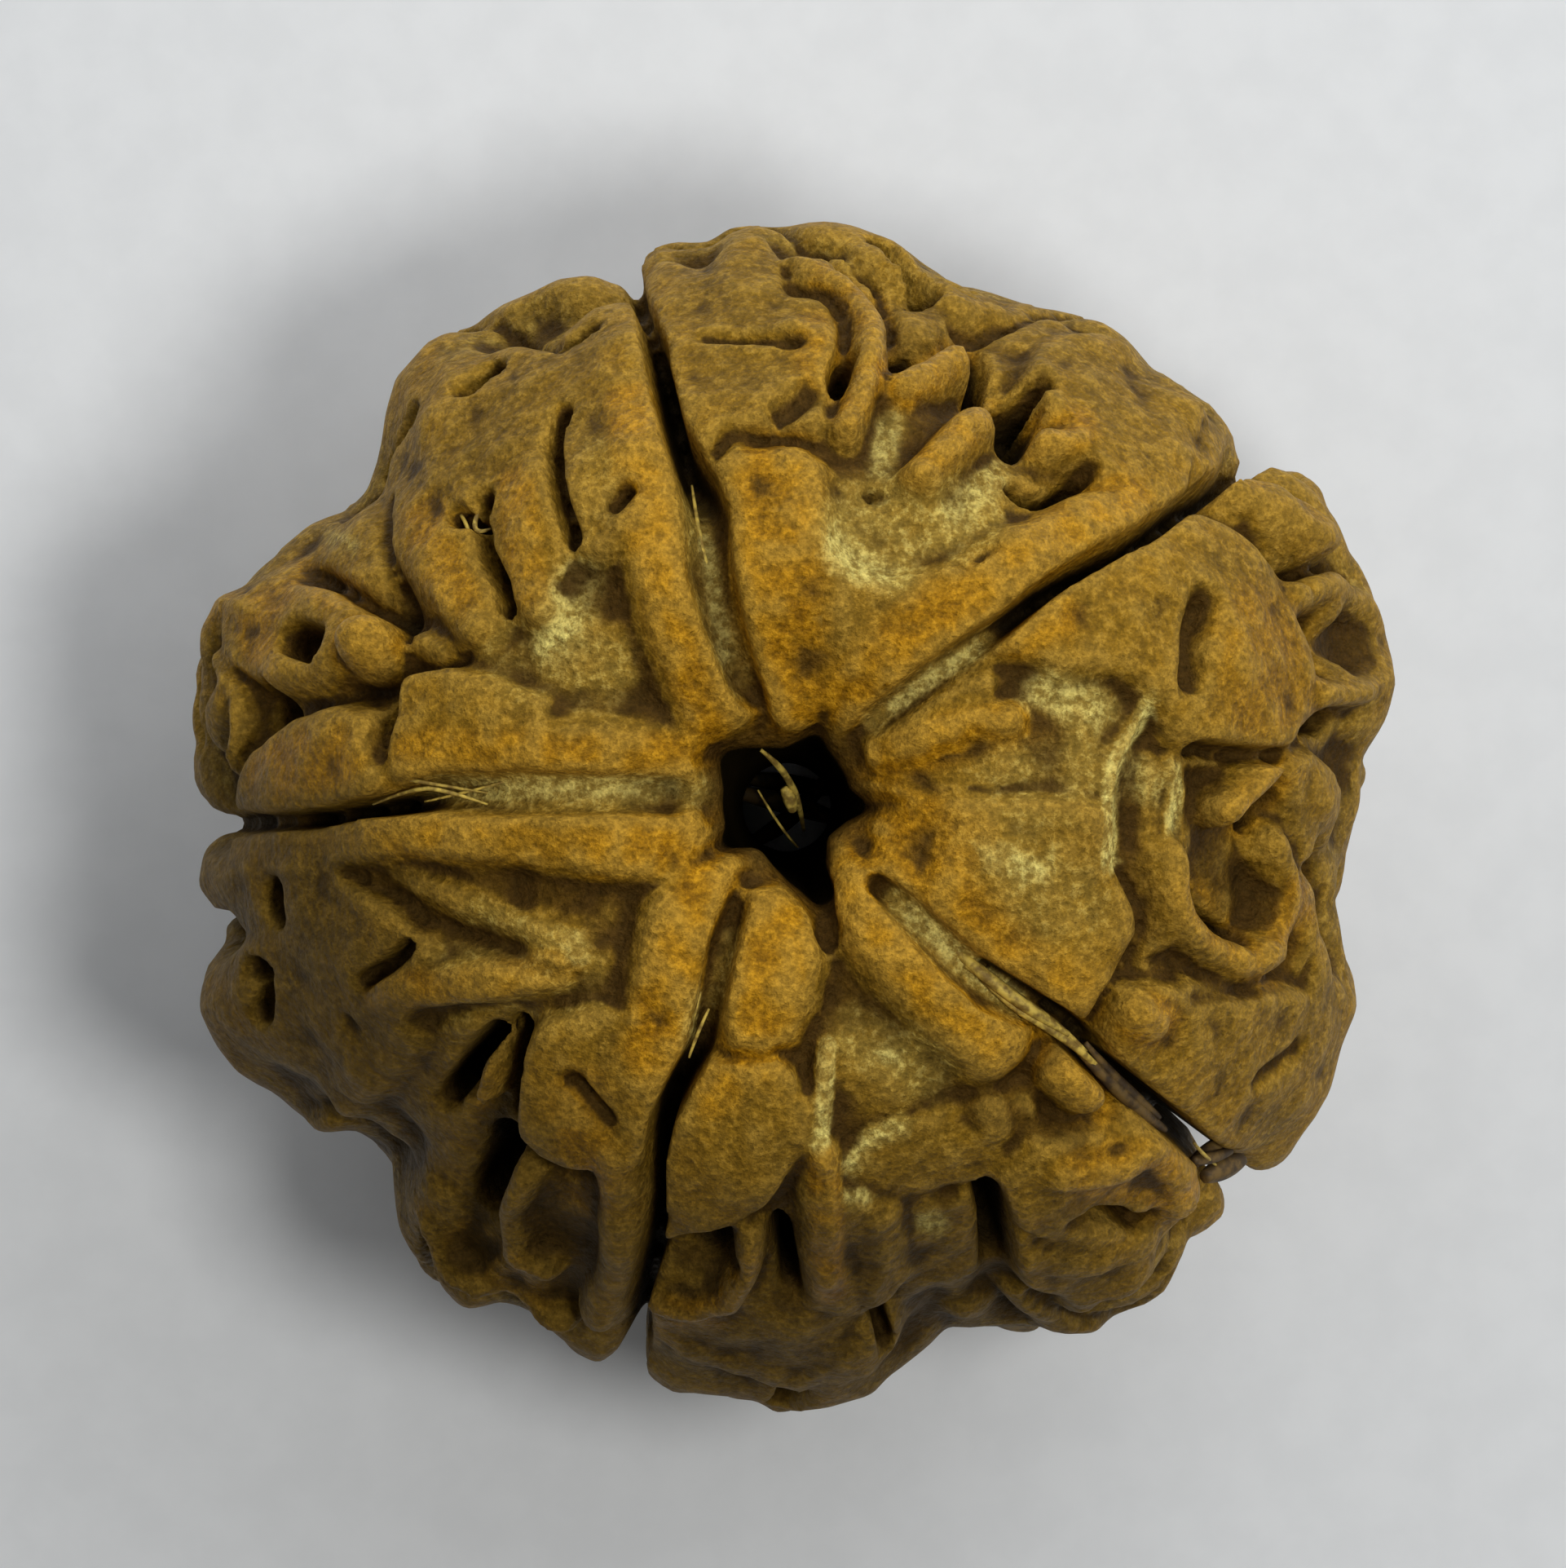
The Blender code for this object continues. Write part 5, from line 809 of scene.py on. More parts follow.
def grooved(points, height):
    """Heights over the skin, after the grooves, pits and creases are cut."""
    rng = random.Random(SEED + 1)
    for path, widths, depths in groove_strokes():
        share, depth = along_stroke(points, path, widths, depths)
        height = np.minimum(height, np.where(share < 1.0, -depth * walled(share), 9.0))
    cut = np.zeros(len(points))
    for path, widths, depths in upper_strokes(PITS, CUT_DROP) + flank_pits(rng):
        share, depth = along_stroke(points, path, widths, depths)
        cut = np.maximum(cut, depth * walled(share))
    for path, widths, depths in upper_strokes(CREASES, CUT_DROP):
        share, depth = along_stroke(points, path, widths, depths)
        cut = np.maximum(cut, depth * smoothstep(1.0 - share))
    return height - cut


def grain(points, scale, seed):
    """Smooth random numbers, about -1 to 1, over the surface."""
    shift = Vector((seed * 7.3, seed * 3.1, seed * 5.7))
    return np.array([noise.noise(Vector(point) * scale + shift) for point in points]) * 2.0


def spread_to_rim(points):
    """Points near the equator moved in or out, so that the widest at each azimuth meets the outline.

    A narrow belt there is filled part of the way out, so that the outline has no gaps between its knobs."""
    azimuth = azimuth_of(points[:, 0], points[:, 1])
    radius = np.hypot(points[:, 0], points[:, 1])
    widest = np.zeros(RIM_SECTORS)
    sector = (azimuth / 360.0 * RIM_SECTORS).astype(int) % RIM_SECTORS
    np.maximum.at(widest, sector, radius)
    widest = np.maximum(widest, np.maximum(np.roll(widest, 1), np.roll(widest, -1)))
    middles = (np.arange(RIM_SECTORS) + 0.5) * 360.0 / RIM_SECTORS
    rim = rim_radius(azimuth)
    wanted = rim / np.interp(azimuth, middles, widest, period=360.0)
    share = smoothstep(1.5 - 1.5 * np.abs(points[:, 2] - RIM_MIDDLE) / RIM_HEIGHT)
    out = np.minimum(radius * (1.0 + (wanted - 1.0) * share), rim)
    belt = RIM_FILL * smoothstep(1.5 - 1.5 * np.abs(points[:, 2] - RIM_MIDDLE) / RIM_BELT)
    out = np.where(out > 6.0, out + (rim - out) * belt, radius)
    points[:, :2] *= (out / radius)[:, None]
    return points


def shaped_mesh():
    """The turned body with its relief raised and cut."""
    mesh = turned_body()
    skin = points_of(mesh)
    normals = normals_of(mesh)
    height = levels(skin, normals) - CREST
    for size, scale, seed in GRAINS:
        height += size * grain(skin, scale, seed)
    away = smoothstep((np.hypot(skin[:, 0], skin[:, 1]) - MOUTH_REACH) / 0.5)
    outside = np.maximum(away, smoothstep((np.abs(skin[:, 2]) - MOUTH_LEVEL) / 0.7))
    points = spread_to_rim(skin + normals * (height * outside)[:, None])
    points += normals * ((grooved(skin, height) - height) * outside)[:, None]
    put_points(mesh, points)
    return mesh


# Ochre patches of the upper side, where handling has polished the ridges: (strength, width, places)
OCHRE_PATCHES = [
    (0.9, 2.2, [(0.0, 1.8), (-0.1, 3.5), (-0.2, 5.8)]),
    (0.85, 1.5, [(1.0, 1.9), (2.5, 3.3), (4.2, 4.3), (5.8, 5.4)]),
    (0.9, 1.2, [(1.5, 0.6), (2.8, 1.2), (4.2, 1.45)]),
    (0.9, 1.8, [(1.8, -0.2), (3.0, -0.6)]),
    (0.9, 1.0, [(4.0, 2.9), (4.8, 3.3)]),
    (0.8, 1.6, [(1.5, -0.3), (2.8, -1.4), (4.0, -2.7), (5.0, -3.3)]),
    (1.0, 1.5, [(0.9, -1.0), (1.6, -2.2), (3.0, -3.4), (4.2, -4.3)]),
    (1.0, 1.8, [(0.0, -1.6), (-0.3, -3.0), (-0.5, -4.1)]),
    (0.95, 1.5, [(-1.2, -1.0), (-1.9, -2.5), (-2.3, -4.2)]),
    (0.95, 1.4, [(-1.3, -0.5), (-3.2, -0.8)]),
    (0.5, 1.2, [(-3.2, -0.7), (-7.0, -0.5)]),
    (0.85, 1.1, [(-1.5, 0.9), (-4.0, 0.9), (-6.5, 1.0)]),
    (0.95, 1.2, [(-1.3, 1.5), (-2.0, 3.2), (-2.4, 5.2), (-2.7, 7.0)]),
    (1.0, 1.5, [(-7.4, 2.9), (-7.2, 2.9)]),
    (0.8, 1.5, [(-8.9, 0.7), (-7.9, 0.9)]),
    (0.7, 0.9, [(-7.4, 3.6), (-8.6, 4.1), (-9.3, 3.3), (-9.2, 2.4)]),
    (0.9, 0.9, [(1.9, 7.1), (3.0, 7.9)]),
    (1.0, 1.0, [(2.3, 5.9), (3.3, 6.8)]),
    (0.9, 0.9, [(1.1, 6.9), (1.5, 7.6)]),
    (0.6, 0.9, [(0.6, 9.2), (1.5, 8.7), (1.6, 7.9)]),
    (0.6, 1.5, [(0.6, 8.1), (0.7, 7.7)]),
    (0.8, 1.1, [(4.3, 6.5), (5.0, 6.6)]),
    (1.0, 1.0, [(-1.2, -4.8), (-1.2, -5.0)]),
    (0.8, 1.4, [(5.1, -4.7), (5.3, -5.1)]),
    (0.8, 1.3, [(6.2, -3.7), (6.4, -3.7)]),
    (0.7, 1.0, [(7.8, -0.2), (8.6, 0.6)]),
    (0.6, 1.0, [(7.0, -1.5), (8.3, -2.9), (9.0, -1.5)]),
    (0.6, 1.2, [(-6.3, 5.0), (-5.8, 3.8)]),
    (0.7, 0.9, [(-4.7, 5.6), (-4.5, 3.8)]),
    (0.8, 0.9, [(-7.0, -3.2), (-5.0, -3.0), (-3.8, -2.7)]),
    (0.7, 1.4, [(-3.6, -5.0), (-3.4, -6.6)]),
    (0.6, 1.0, [(-5.6, -7.5), (-4.4, -8.6)]),
    (1.0, 0.8, [(0.65, -6.2), (0.75, -8.4)]),
    (0.8, 0.8, [(-2.2, -8.8), (-1.2, -8.8), (-0.7, -8.0)]),
    (0.6, 1.8, [(5.4, -6.3), (6.9, -6.6)]),
    (0.5, 2.5, [(8.2, 3.0), (8.4, 2.0)]),
    (0.9, 0.5, [(-5.3, -5.1), (-5.1, -4.6)]),
]

# Pale, crusty patches of the upper side, where flesh dried in the hollows: (strength, width, places)
CRUST_PATCHES = [
    (1.0, 1.1, [(0.85, 4.9), (1.2, 4.3), (1.9, 4.1)]),
    (0.7, 2.2, [(1.3, 4.9), (3.0, 5.0)]),
    (0.8, 0.8, [(1.7, 5.9), (1.8, 6.7)]),
    (0.6, 0.8, [(-1.6, 5.2), (-1.3, 3.5), (-0.8, 2.2)]),
    (0.9, 0.6, [(1.5, 1.5), (2.4, 2.2), (3.5, 2.9)]),
    (0.9, 1.3, [(4.6, 2.0), (5.4, 1.7)]),
    (0.45, 2.4, [(4.0, 0.4), (5.2, 0.6)]),
    (0.9, 0.7, [(3.7, -0.85), (4.5, -1.15)]),
    (0.35, 2.4, [(3.6, -0.4), (4.8, -1.8)]),
    (1.0, 0.4, [(6.3, 1.9), (6.1, 1.4), (5.75, 0.9), (5.6, 0.3), (5.65, -0.4), (5.6, -1.0)]),
    (0.8, 0.35, [(6.75, 0.7), (6.8, 0.2), (6.7, -0.4)]),
    (1.0, 0.8, [(1.9, -1.6), (3.0, -2.7), (4.0, -3.4)]),
    (1.0, 1.1, [(-4.1, 2.8), (-3.8, 3.3)]),
    (0.5, 2.0, [(-4.6, 2.6), (-3.2, 2.3)]),
    (0.3, 1.2, [(-3.4, 4.0), (-3.3, 6.0)]),
    (0.8, 0.9, [(-6.0, 0.3), (-1.5, 0.3)]),
    (0.6, 0.7, [(-5.5, -1.8), (-3.7, -2.4)]),
    (0.4, 1.2, [(-5.8, -2.7), (-3.6, -2.9)]),
    (0.3, 1.6, [(-5.5, -3.7), (-3.6, -3.3)]),
    (0.7, 1.6, [(1.3, -3.9), (2.4, -4.6)]),
    (0.7, 0.6, [(1.75, -4.4), (1.9, -4.4)]),
    (1.0, 0.42, [(0.7, -4.2), (0.65, -5.4), (0.55, -5.9)]),
    (0.9, 0.5, [(1.1, -6.3), (1.4, -5.75), (2.0, -5.5)]),
    (0.9, 0.5, [(1.15, -6.8), (1.3, -6.8)]),
    (0.8, 0.6, [(2.4, -7.2), (2.6, -7.2)]),
    (0.6, 0.5, [(-1.0, -2.2), (-1.3, -3.6)]),
]

# Bright chalky streaks, where skin of the fruit clings to the stone: (strength, width, places)
CHALK_PATCHES = [
    (1.0, 0.34, [(0.72, -4.1), (0.68, -4.8), (0.66, -5.5), (0.6, -5.9)]),
    (1.0, 0.3, [(6.3, 1.7), (6.05, 1.3), (5.75, 0.9), (5.6, 0.3), (5.65, -0.4), (5.6, -1.0)]),
    (0.5, 0.9, [(6.0, 0.6), (6.3, 0.4)]),
    (0.9, 0.26, [(6.75, 0.7), (6.8, 0.2), (6.7, -0.3)]),
    (0.85, 0.9, [(-4.1, 2.8), (-3.95, 3.1)]),
    (0.55, 1.2, [(-3.9, 3.3), (-3.6, 3.9)]),
    (0.8, 0.55, [(3.65, -0.85), (4.4, -1.15)]),
    (0.75, 0.7, [(0.8, 4.6), (1.1, 4.2), (1.6, 4.05)]),
    (0.6, 0.6, [(1.6, 5.9), (1.75, 6.6)]),
    (0.55, 0.8, [(2.9, 5.1), (3.6, 5.75)]),
    (0.6, 0.9, [(4.3, 2.05), (5.3, 1.75)]),
    (0.8, 0.4, [(1.9, 1.75), (2.6, 2.3), (3.3, 2.75)]),
    (1.0, 0.5, [(2.2, -1.85), (2.8, -2.4), (3.3, -2.8), (3.9, -3.25)]),
    (0.7, 0.4, [(-1.05, 2.6), (-1.2, 3.4), (-1.4, 4.6)]),
    (0.6, 0.4, [(-1.6, -3.3), (-1.75, -4.1)]),
    (0.6, 0.5, [(-5.6, 0.3), (-2.0, 0.35)]),
    (0.8, 0.35, [(1.1, -6.2), (1.35, -5.8), (1.9, -5.6)]),
    (0.8, 0.4, [(1.15, -6.75), (1.35, -6.8)]),
    (0.7, 0.5, [(1.7, -4.3), (1.9, -4.3)]),
    (0.6, 0.5, [(2.4, -7.2), (2.6, -7.3)]),
    (0.5, 0.5, [(-3.75, -2.3), (-3.65, -2.6)]),
    (0.5, 0.4, [(-7.6, 4.6), (-8.4, 4.9)]),
]

# Dark brown patches of the upper side, laid over its pits, creases and hollows as painted shade: (strength,
# width, places)
BROWN_SHADE_PATCHES = [
    (0.8, 1.0, [(3.4, -5.25), (4.3, -5.5), (5.0, -5.7)]),
    (0.8, 0.9, [(3.5, -6.8), (3.6, -7.8), (3.3, -8.5)]),
    (0.6, 0.7, [(2.7, -6.65), (2.9, -7.0)]),
    (0.7, 0.7, [(4.6, -4.2), (4.1, -4.8), (3.2, -5.05)]),
    (0.6, 0.6, [(1.45, -7.5), (1.5, -8.5)]),
    (0.7, 0.8, [(-0.1, -7.3), (0.05, -8.6)]),
    (0.7, 0.8, [(-1.7, -7.8), (-1.0, -7.8)]),
    (0.5, 1.0, [(-1.6, -9.5), (0.6, -9.6)]),
    (0.6, 0.9, [(4.6, -7.2), (6.2, -7.1)]),
    (0.75, 0.9, [(7.3, 0.6), (7.3, -0.6), (7.8, -1.6)]),
    (0.55, 0.7, [(6.1, -0.9), (6.3, -2.2)]),
    (0.5, 0.7, [(7.0, -3.3), (8.2, -3.3)]),
    (0.6, 0.7, [(7.15, 3.5), (7.0, 2.3)]),
    (0.6, 0.8, [(3.6, 8.1), (3.9, 7.7), (4.5, 7.6)]),
    (0.6, 0.8, [(1.9, 8.1), (2.6, 8.5)]),
    (0.5, 0.8, [(2.0, 6.4), (2.6, 7.0)]),
    (0.5, 0.6, [(4.2, 5.75), (5.2, 5.8)]),
    (0.6, 0.6, [(-7.0, 2.4), (-7.1, 1.0)]),
    (0.6, 0.6, [(-7.4, 3.75), (-6.5, 3.35)]),
    (0.6, 0.8, [(-9.1, 1.9), (-9.1, 1.5)]),
    (0.6, 0.8, [(-5.9, -4.9), (-4.9, -3.8)]),
    (0.7, 1.1, [(-5.1, -5.5), (-5.3, -6.9)]),
    (0.5, 0.7, [(-4.2, -6.6), (-4.0, -7.8)]),
    (0.5, 0.7, [(-6.9, -1.4), (-6.2, -2.1), (-4.6, -2.7)]),
    (0.45, 0.7, [(-5.4, -1.1), (-3.6, -1.6), (-3.2, -2.4)]),
    (0.5, 0.7, [(-3.2, 4.4), (-3.0, 5.4)]),
    (0.5, 0.5, [(-5.4, 5.0), (-5.1, 4.0)]),
]

# Dried fibres in the grooves, as (thickness, points as (x, y, depth under the skin))
FIBRES = [
    (0.24, [(2.9, -2.45, 0.75), (3.3, -2.8, 0.6), (3.8, -3.2, 0.55), (4.3, -3.55, 0.5), (4.9, -3.95, 0.6)]),
    (0.20, [(3.1, -2.75, 0.7), (3.6, -3.0, 0.55), (4.1, -3.45, 0.5), (4.6, -3.7, 0.6), (5.2, -4.25, 0.7)]),
    (0.16, [(3.4, -3.0, 0.7), (3.9, -3.45, 0.6), (4.5, -3.8, 0.6), (5.1, -4.2, 0.6), (5.6, -4.7, 0.8)]),
    (0.10, [(7.1, -5.85, 0.4), (7.3, -6.1, 0.3), (7.5, -6.25, 0.5)]),
    (0.08, [(-7.2, 0.05, 0.6), (-6.5, 0.35, 0.25), (-5.9, 0.3, 0.35), (-5.2, 0.05, 0.7)]),
    (0.07, [(-7.3, 0.75, 0.2), (-6.7, 0.5, 0.15), (-6.1, 0.4, 0.3), (-5.2, 0.25, 0.7)]),
    (0.07, [(-6.3, 0.1, 0.6), (-5.6, 0.25, 0.5), (-4.9, 0.45, 0.7)]),
    (0.09, [(-4.8, 0.1, 0.8), (-4.0, 0.25, 0.7), (-3.2, 0.15, 0.7), (-2.5, 0.25, 0.7)]),
    (0.09, [(-1.65, 5.6, 1.2), (-1.55, 4.9, 1.0), (-1.4, 4.2, 0.9), (-1.15, 3.4, 0.8)]),
    (0.10, [(-5.75, 5.2, 0.4), (-5.55, 4.95, 0.35), (-5.5, 4.65, 0.5)]),
    (0.09, [(-5.3, 5.3, 0.4), (-5.45, 5.0, 0.3), (-5.4, 4.75, 0.4), (-5.15, 4.85, 0.6)]),
    (0.10, [(-1.9, -4.2, 0.5), (-1.6, -3.7, 0.4), (-1.5, -3.2, 0.5)]),
    (0.09, [(-1.7, -4.35, 0.5), (-1.55, -3.9, 0.4), (-1.35, -3.5, 0.5)]),
]

# Dried fibres across the bore, and dark shreds deep in it as painted shade that hides the floor seen through
# it, as (thickness, points as (x, y, height over the equator))
BORE_FIBRES = [
    (0.13, [(-0.45, 1.0, 6.3), (-0.15, 0.75, 6.0), (0.05, 0.45, 5.4), (0.2, 0.15, 4.8), (0.3, -0.4, 3.8)]),
    (0.34, [(-0.05, 0.35, 5.2), (0.08, 0.15, 5.1), (0.1, -0.05, 4.9)]),
    (0.07, [(-0.5, 0.3, 5.0), (-0.1, -0.4, 4.4), (0.2, -0.7, 4.0)]),
]
# Painted shade: dark shreds deep in the bore, so that the floor seen through it is hidden
BORE_SHADE_SHREDS = [
    (0.50, [(-0.85, 0.25, -2.0), (0.0, 0.1, -2.2), (0.85, -0.2, -2.4)]),
    (0.45, [(-0.6, -0.6, -3.0), (0.0, -0.35, -3.1), (0.7, 0.5, -3.3)]),
    (0.45, [(-0.7, 0.5, -3.6), (0.0, 0.45, -3.8), (0.75, 0.3, -4.0)]),
]

# Dark shreds of dried flesh: strands in the south-east groove, and one that bridges it at the rim
SHREDS = [
    (0.24, [(5.0, -4.15, 0.8), (5.5, -4.65, 0.7), (5.95, -5.1, 0.7), (6.3, -5.4, 0.75), (6.6, -5.62, 1.0)]),
    (0.20, [(5.2, -4.1, 0.8), (5.7, -4.7, 0.7), (6.15, -5.1, 0.7), (6.5, -5.4, 0.8)]),
    (0.55, [(7.3, -6.45, 0.4), (7.62, -6.3, 0.45), (7.95, -6.15, 0.4)]),
    (0.30, [(7.1, -6.15, 0.6), (7.4, -6.15, 0.5), (7.75, -6.0, 0.6)]),
    (0.46, [(7.1, -6.2, 1.1), (7.42, -5.98, 1.2), (7.8, -5.75, 1.1)]),
]


# Passes that ease the surface to tell its creases, and its hollows and crowns, where shade and highlight are
# painted
CREASE_PASSES = 6
FORM_PASSES = 60
SKIN_SAMPLING = 6

# Lamps as (name, azimuth, elevation, width, power, colour), all as far from the bead: a small one almost
# overhead, a broad low window at the top of the picture made of three, and weak fills
LAMP_DISTANCE = 150
LAMP_AIM = 8
WARM = (1.0, 0.985, 0.95)
PALE = (1.0, 0.99, 0.97)
CLEAR = (0.98, 0.99, 1.0)
COOL = (0.97, 0.985, 1.0)
LAMPS = [
    ("high_lamp", -18, 75, 36, 0.097, WARM),
    ("window_1", 60, 25, 120, 0.046, COOL),
    ("window_2", 90, 25, 120, 0.046, COOL),
    ("window_3", 120, 25, 120, 0.046, COOL),
    ("upper_right", 42, 45, 120, 0.058, CLEAR),
    ("right_fill", 0, 25, 120, 0.02, CLEAR),
    ("left_fill", 210, 35, 80, 0.012, PALE),
    ("upper_left", 165, 58, 80, 0.009, PALE),
]
SKY = 0.02
SKY_COLOUR = (0.96, 0.98, 1.0, 1.0)
PAPER = [(0.76, 0.78, 0.80, 1), (0.79, 0.81, 0.83, 1)]
PAPER_SIZE = 3.0
PAPER_DROP = 0.00002


def linear(colour):
    """A screen colour as linear red, green, blue and alpha."""
    parts = [int(colour[i:i + 2], 16) / 255 for i in (0, 2, 4)]
    return [p / 12.92 if p <= 0.04045 else ((p + 0.055) / 1.055) ** 2.4 for p in parts] + [1.0]


def largest_body(mesh):
    """Only the largest connected body of a mesh."""
    work = bmesh.new()
    work.from_mesh(mesh)
    left = set(work.verts)
    bodies = []
    while left:
        seed = left.pop()
        body = {seed}
        growing = [seed]
        while growing:
            vertex = growing.pop()
            for edge in vertex.link_edges:
                other = edge.other_vert(vertex)
                if other in left:
                    left.discard(other)
                    body.add(other)
                    growing.append(other)
        bodies.append(body)
    keep = max(bodies, key=len)
    bmesh.ops.delete(work, geom=[v for v in work.verts if v not in keep], context="VERTS")
    work.to_mesh(mesh)
    work.free()


def cut_level(mesh):
    """The pads under the bead cut level, as they are worn."""
    lowest = points_of(mesh)[:, 2].min()
    work = bmesh.new()
    work.from_mesh(mesh)
    geometry = work.verts[:] + work.edges[:] + work.faces[:]
    level = (0, 0, lowest + WORN_LEVEL)
    cut = bmesh.ops.bisect_plane(work, geom=geometry, plane_co=level, plane_no=(0, 0, 1), clear_inner=True)
    rims = [edge for edge in cut["geom_cut"] if isinstance(edge, bmesh.types.BMEdge)]
    bmesh.ops.holes_fill(work, edges=rims, sides=0)
    bmesh.ops.triangulate(work, faces=work.faces[:])
    bmesh.ops.recalc_face_normals(work, faces=work.faces[:])
    work.to_mesh(mesh)
    work.free()


def with_modifier(obj, name, kind, **settings):
    """The object's mesh with one modifier worked out and left on it."""
    modifier = obj.modifiers.new(name, kind)
    for setting, value in settings.items():
        setattr(modifier, setting, value)
    obj.data = evaluated_mesh(obj)
    obj.modifiers.clear()


def set_in_place(mesh, shift):
    mesh.transform(Matrix.Translation(shift))
    mesh.transform(Matrix.Scale(MM, 4))


def averaged(values, ends, passes):
    """Values eased over the mesh: each vertex moves to the mean of its neighbours, so many times."""
    count = np.bincount(ends.ravel(), minlength=len(values)).astype(float)
    for turn in range(passes):
        total = np.zeros_like(values)
        for axis in range(values.shape[1]):
            total[:, axis] = np.bincount(ends[:, 0], values[ends[:, 1], axis], len(values))
            total[:, axis] += np.bincount(ends[:, 1], values[ends[:, 0], axis], len(values))
        values = 0.5 * values + 0.5 * total / count[:, None]
    return values


def curvature(mesh, passes):
    """How far each vertex stands proud of its eased neighbours, in millimetres, below nought in a crease."""
    points = points_of(mesh)
    ends = np.empty(len(mesh.edges) * 2, np.int32)
    mesh.edges.foreach_get("vertices", ends)
    eased = averaged(points, ends.reshape(-1, 2), passes)
    return ((points - eased) * normals_of(mesh)).sum(axis=1)


def height_over_skin(points):
    """Height of each point over the plain swelled skin."""
    mesh = turned_body()
    skin = points_of(mesh)
    normals = normals_of(mesh)
    keep = np.nonzero(np.hypot(skin[:, 0], skin[:, 1]) > 1.0)[0][::SKIN_SAMPLING]
    tree = KDTree(len(keep))
    for index in keep:
        tree.insert(skin[index], int(index))
    tree.balance()
    nearest = np.array([tree.find(point)[1] for point in points])
    return ((points - skin[nearest]) * normals[nearest]).sum(axis=1)


def patch_share(points, patches):
    """How strongly the patches seen from above colour each point of the upper side."""
    flat = points.copy()
    flat[:, 2] = 0.0
    share = np.zeros(len(points))
    for strength, width, places in patches:
        path = [(x, y, 0.0) for x, y in places]
        near, strengths = along_stroke(flat, path, [width] * len(path), [strength] * len(path))
        share = np.maximum(share, strengths * smoothstep(1.6 * (1.0 - near)))
    return share * smoothstep((points[:, 2] - 1.0) / 3.0)


def store(mesh, name, values):
    attribute = mesh.attributes.new(name, "FLOAT", "POINT")
    attribute.data.foreach_set("value", np.clip(values, 0.0, 1.0).astype(np.float32))


def mark_surface(mesh):
    """Where the surface is worn or crusty, and where shade is painted in creases, hollows, deep places, the
    bore and on the outer south and south-west side and highlight on proud crowns and crisp edges, stored for
    the material.
    """
    points = points_of(mesh)
    height = height_over_skin(points)
    fine = curvature(mesh, CREASE_PASSES)
    broad = curvature(mesh, FORM_PASSES)
    radius = np.hypot(points[:, 0], points[:, 1])
    upper = smoothstep((points[:, 2] - 1.0) / 3.0)
    mottle = 0.5 + 0.5 * grain(points, 0.45, 5)
    ochre = patch_share(points, OCHRE_PATCHES)
    elsewhere = smoothstep(height / 0.8) * smoothstep(mottle) * (1.0 - upper)
    store(mesh, "ochre", np.maximum(ochre, elsewhere * 0.9))
    crust = patch_share(points, CRUST_PATCHES)
    store(mesh, "chalk", patch_share(points, CHALK_PATCHES))
    hollows = smoothstep((0.25 - height) / 0.3) * smoothstep(mottle) * (1.0 - upper) * 0.25
    store(mesh, "crust", np.maximum(crust, hollows))
    spared = 1.0 - 0.8 * crust
    # Painted shade: creases darkened, found from the fine and broad curvature
    store(mesh, "crease", (-fine * 34.0 - 0.08 - broad * 0.4) * spared)
    # Painted highlight: crisp convex edges lightened, found from the fine curvature
    store(mesh, "edge_highlight", fine * 28.0 - 0.1)
    # Painted shade: broad hollows darkened, with the brown patches over pits and creases
    hollow_shade = smoothstep((0.015 - broad) * 9.0) * spared
    store(mesh, "hollow_shade", np.maximum(hollow_shade, patch_share(points, BROWN_SHADE_PATCHES)))
    # Painted highlight: the crowns of the broad forms lightened
    store(mesh, "crown_highlight", smoothstep((broad - 0.1) * 8.0))
    # Painted shade: places far below the skin, in pits and deep grooves, darkened towards black
    store(mesh, "deep", smoothstep((-0.45 - height) / 1.0) * spared)
    # Painted shade: the wall of the bore near black and its mouth dark, stored as bore and mouth
    inside = smoothstep((2.4 - radius) / 0.4)
    store(mesh, "bore", inside * smoothstep((7.15 - np.abs(points[:, 2])) / 0.5))
    store(mesh, "mouth", inside * smoothstep((7.95 - np.abs(points[:, 2])) / 0.7))
    # Painted shade: the outer flanks darkened towards the south and south-west, stored as shade
    outer = smoothstep((radius - 4.4) / 4.2)
    store(mesh, "shade", outer * smoothstep((-points[:, 1] - 0.6 * points[:, 0] - 1.5) / 6.0))


def fine_bead():
    """The bead's fine surface, in the place of its solid, and the shift that put it there."""
    bead = bpy.data.objects.new("bead_surface", shaped_mesh())
    bpy.context.scene.collection.objects.link(bead)
    with_modifier(bead, "Even mesh", "REMESH", mode="VOXEL", voxel_size=VOXEL)
    with_modifier(bead, "Soften", "SMOOTH", factor=0.5, iterations=SMOOTHING_PASSES)
    largest_body(bead.data)
    with_modifier(bead, "Fewer faces", "DECIMATE", ratio=TRIANGLES / (2 * len(bead.data.polygons)))
    cut_level(bead.data)
    mark_surface(bead.data)
    points = points_of(bead.data)
    low, high = points.min(axis=0), points.max(axis=0)
    cad_low, cad_high = np.array(CAD_BOX[0]) / MM, np.array(CAD_BOX[1]) / MM
    shift = (cad_low + cad_high) / 2 - (low + high) / 2
    shift[2] = -low[2]
    set_in_place(bead.data, shift)
    bead.data.polygons.foreach_set("use_smooth", [True] * len(bead.data.polygons))
    return bead, shift


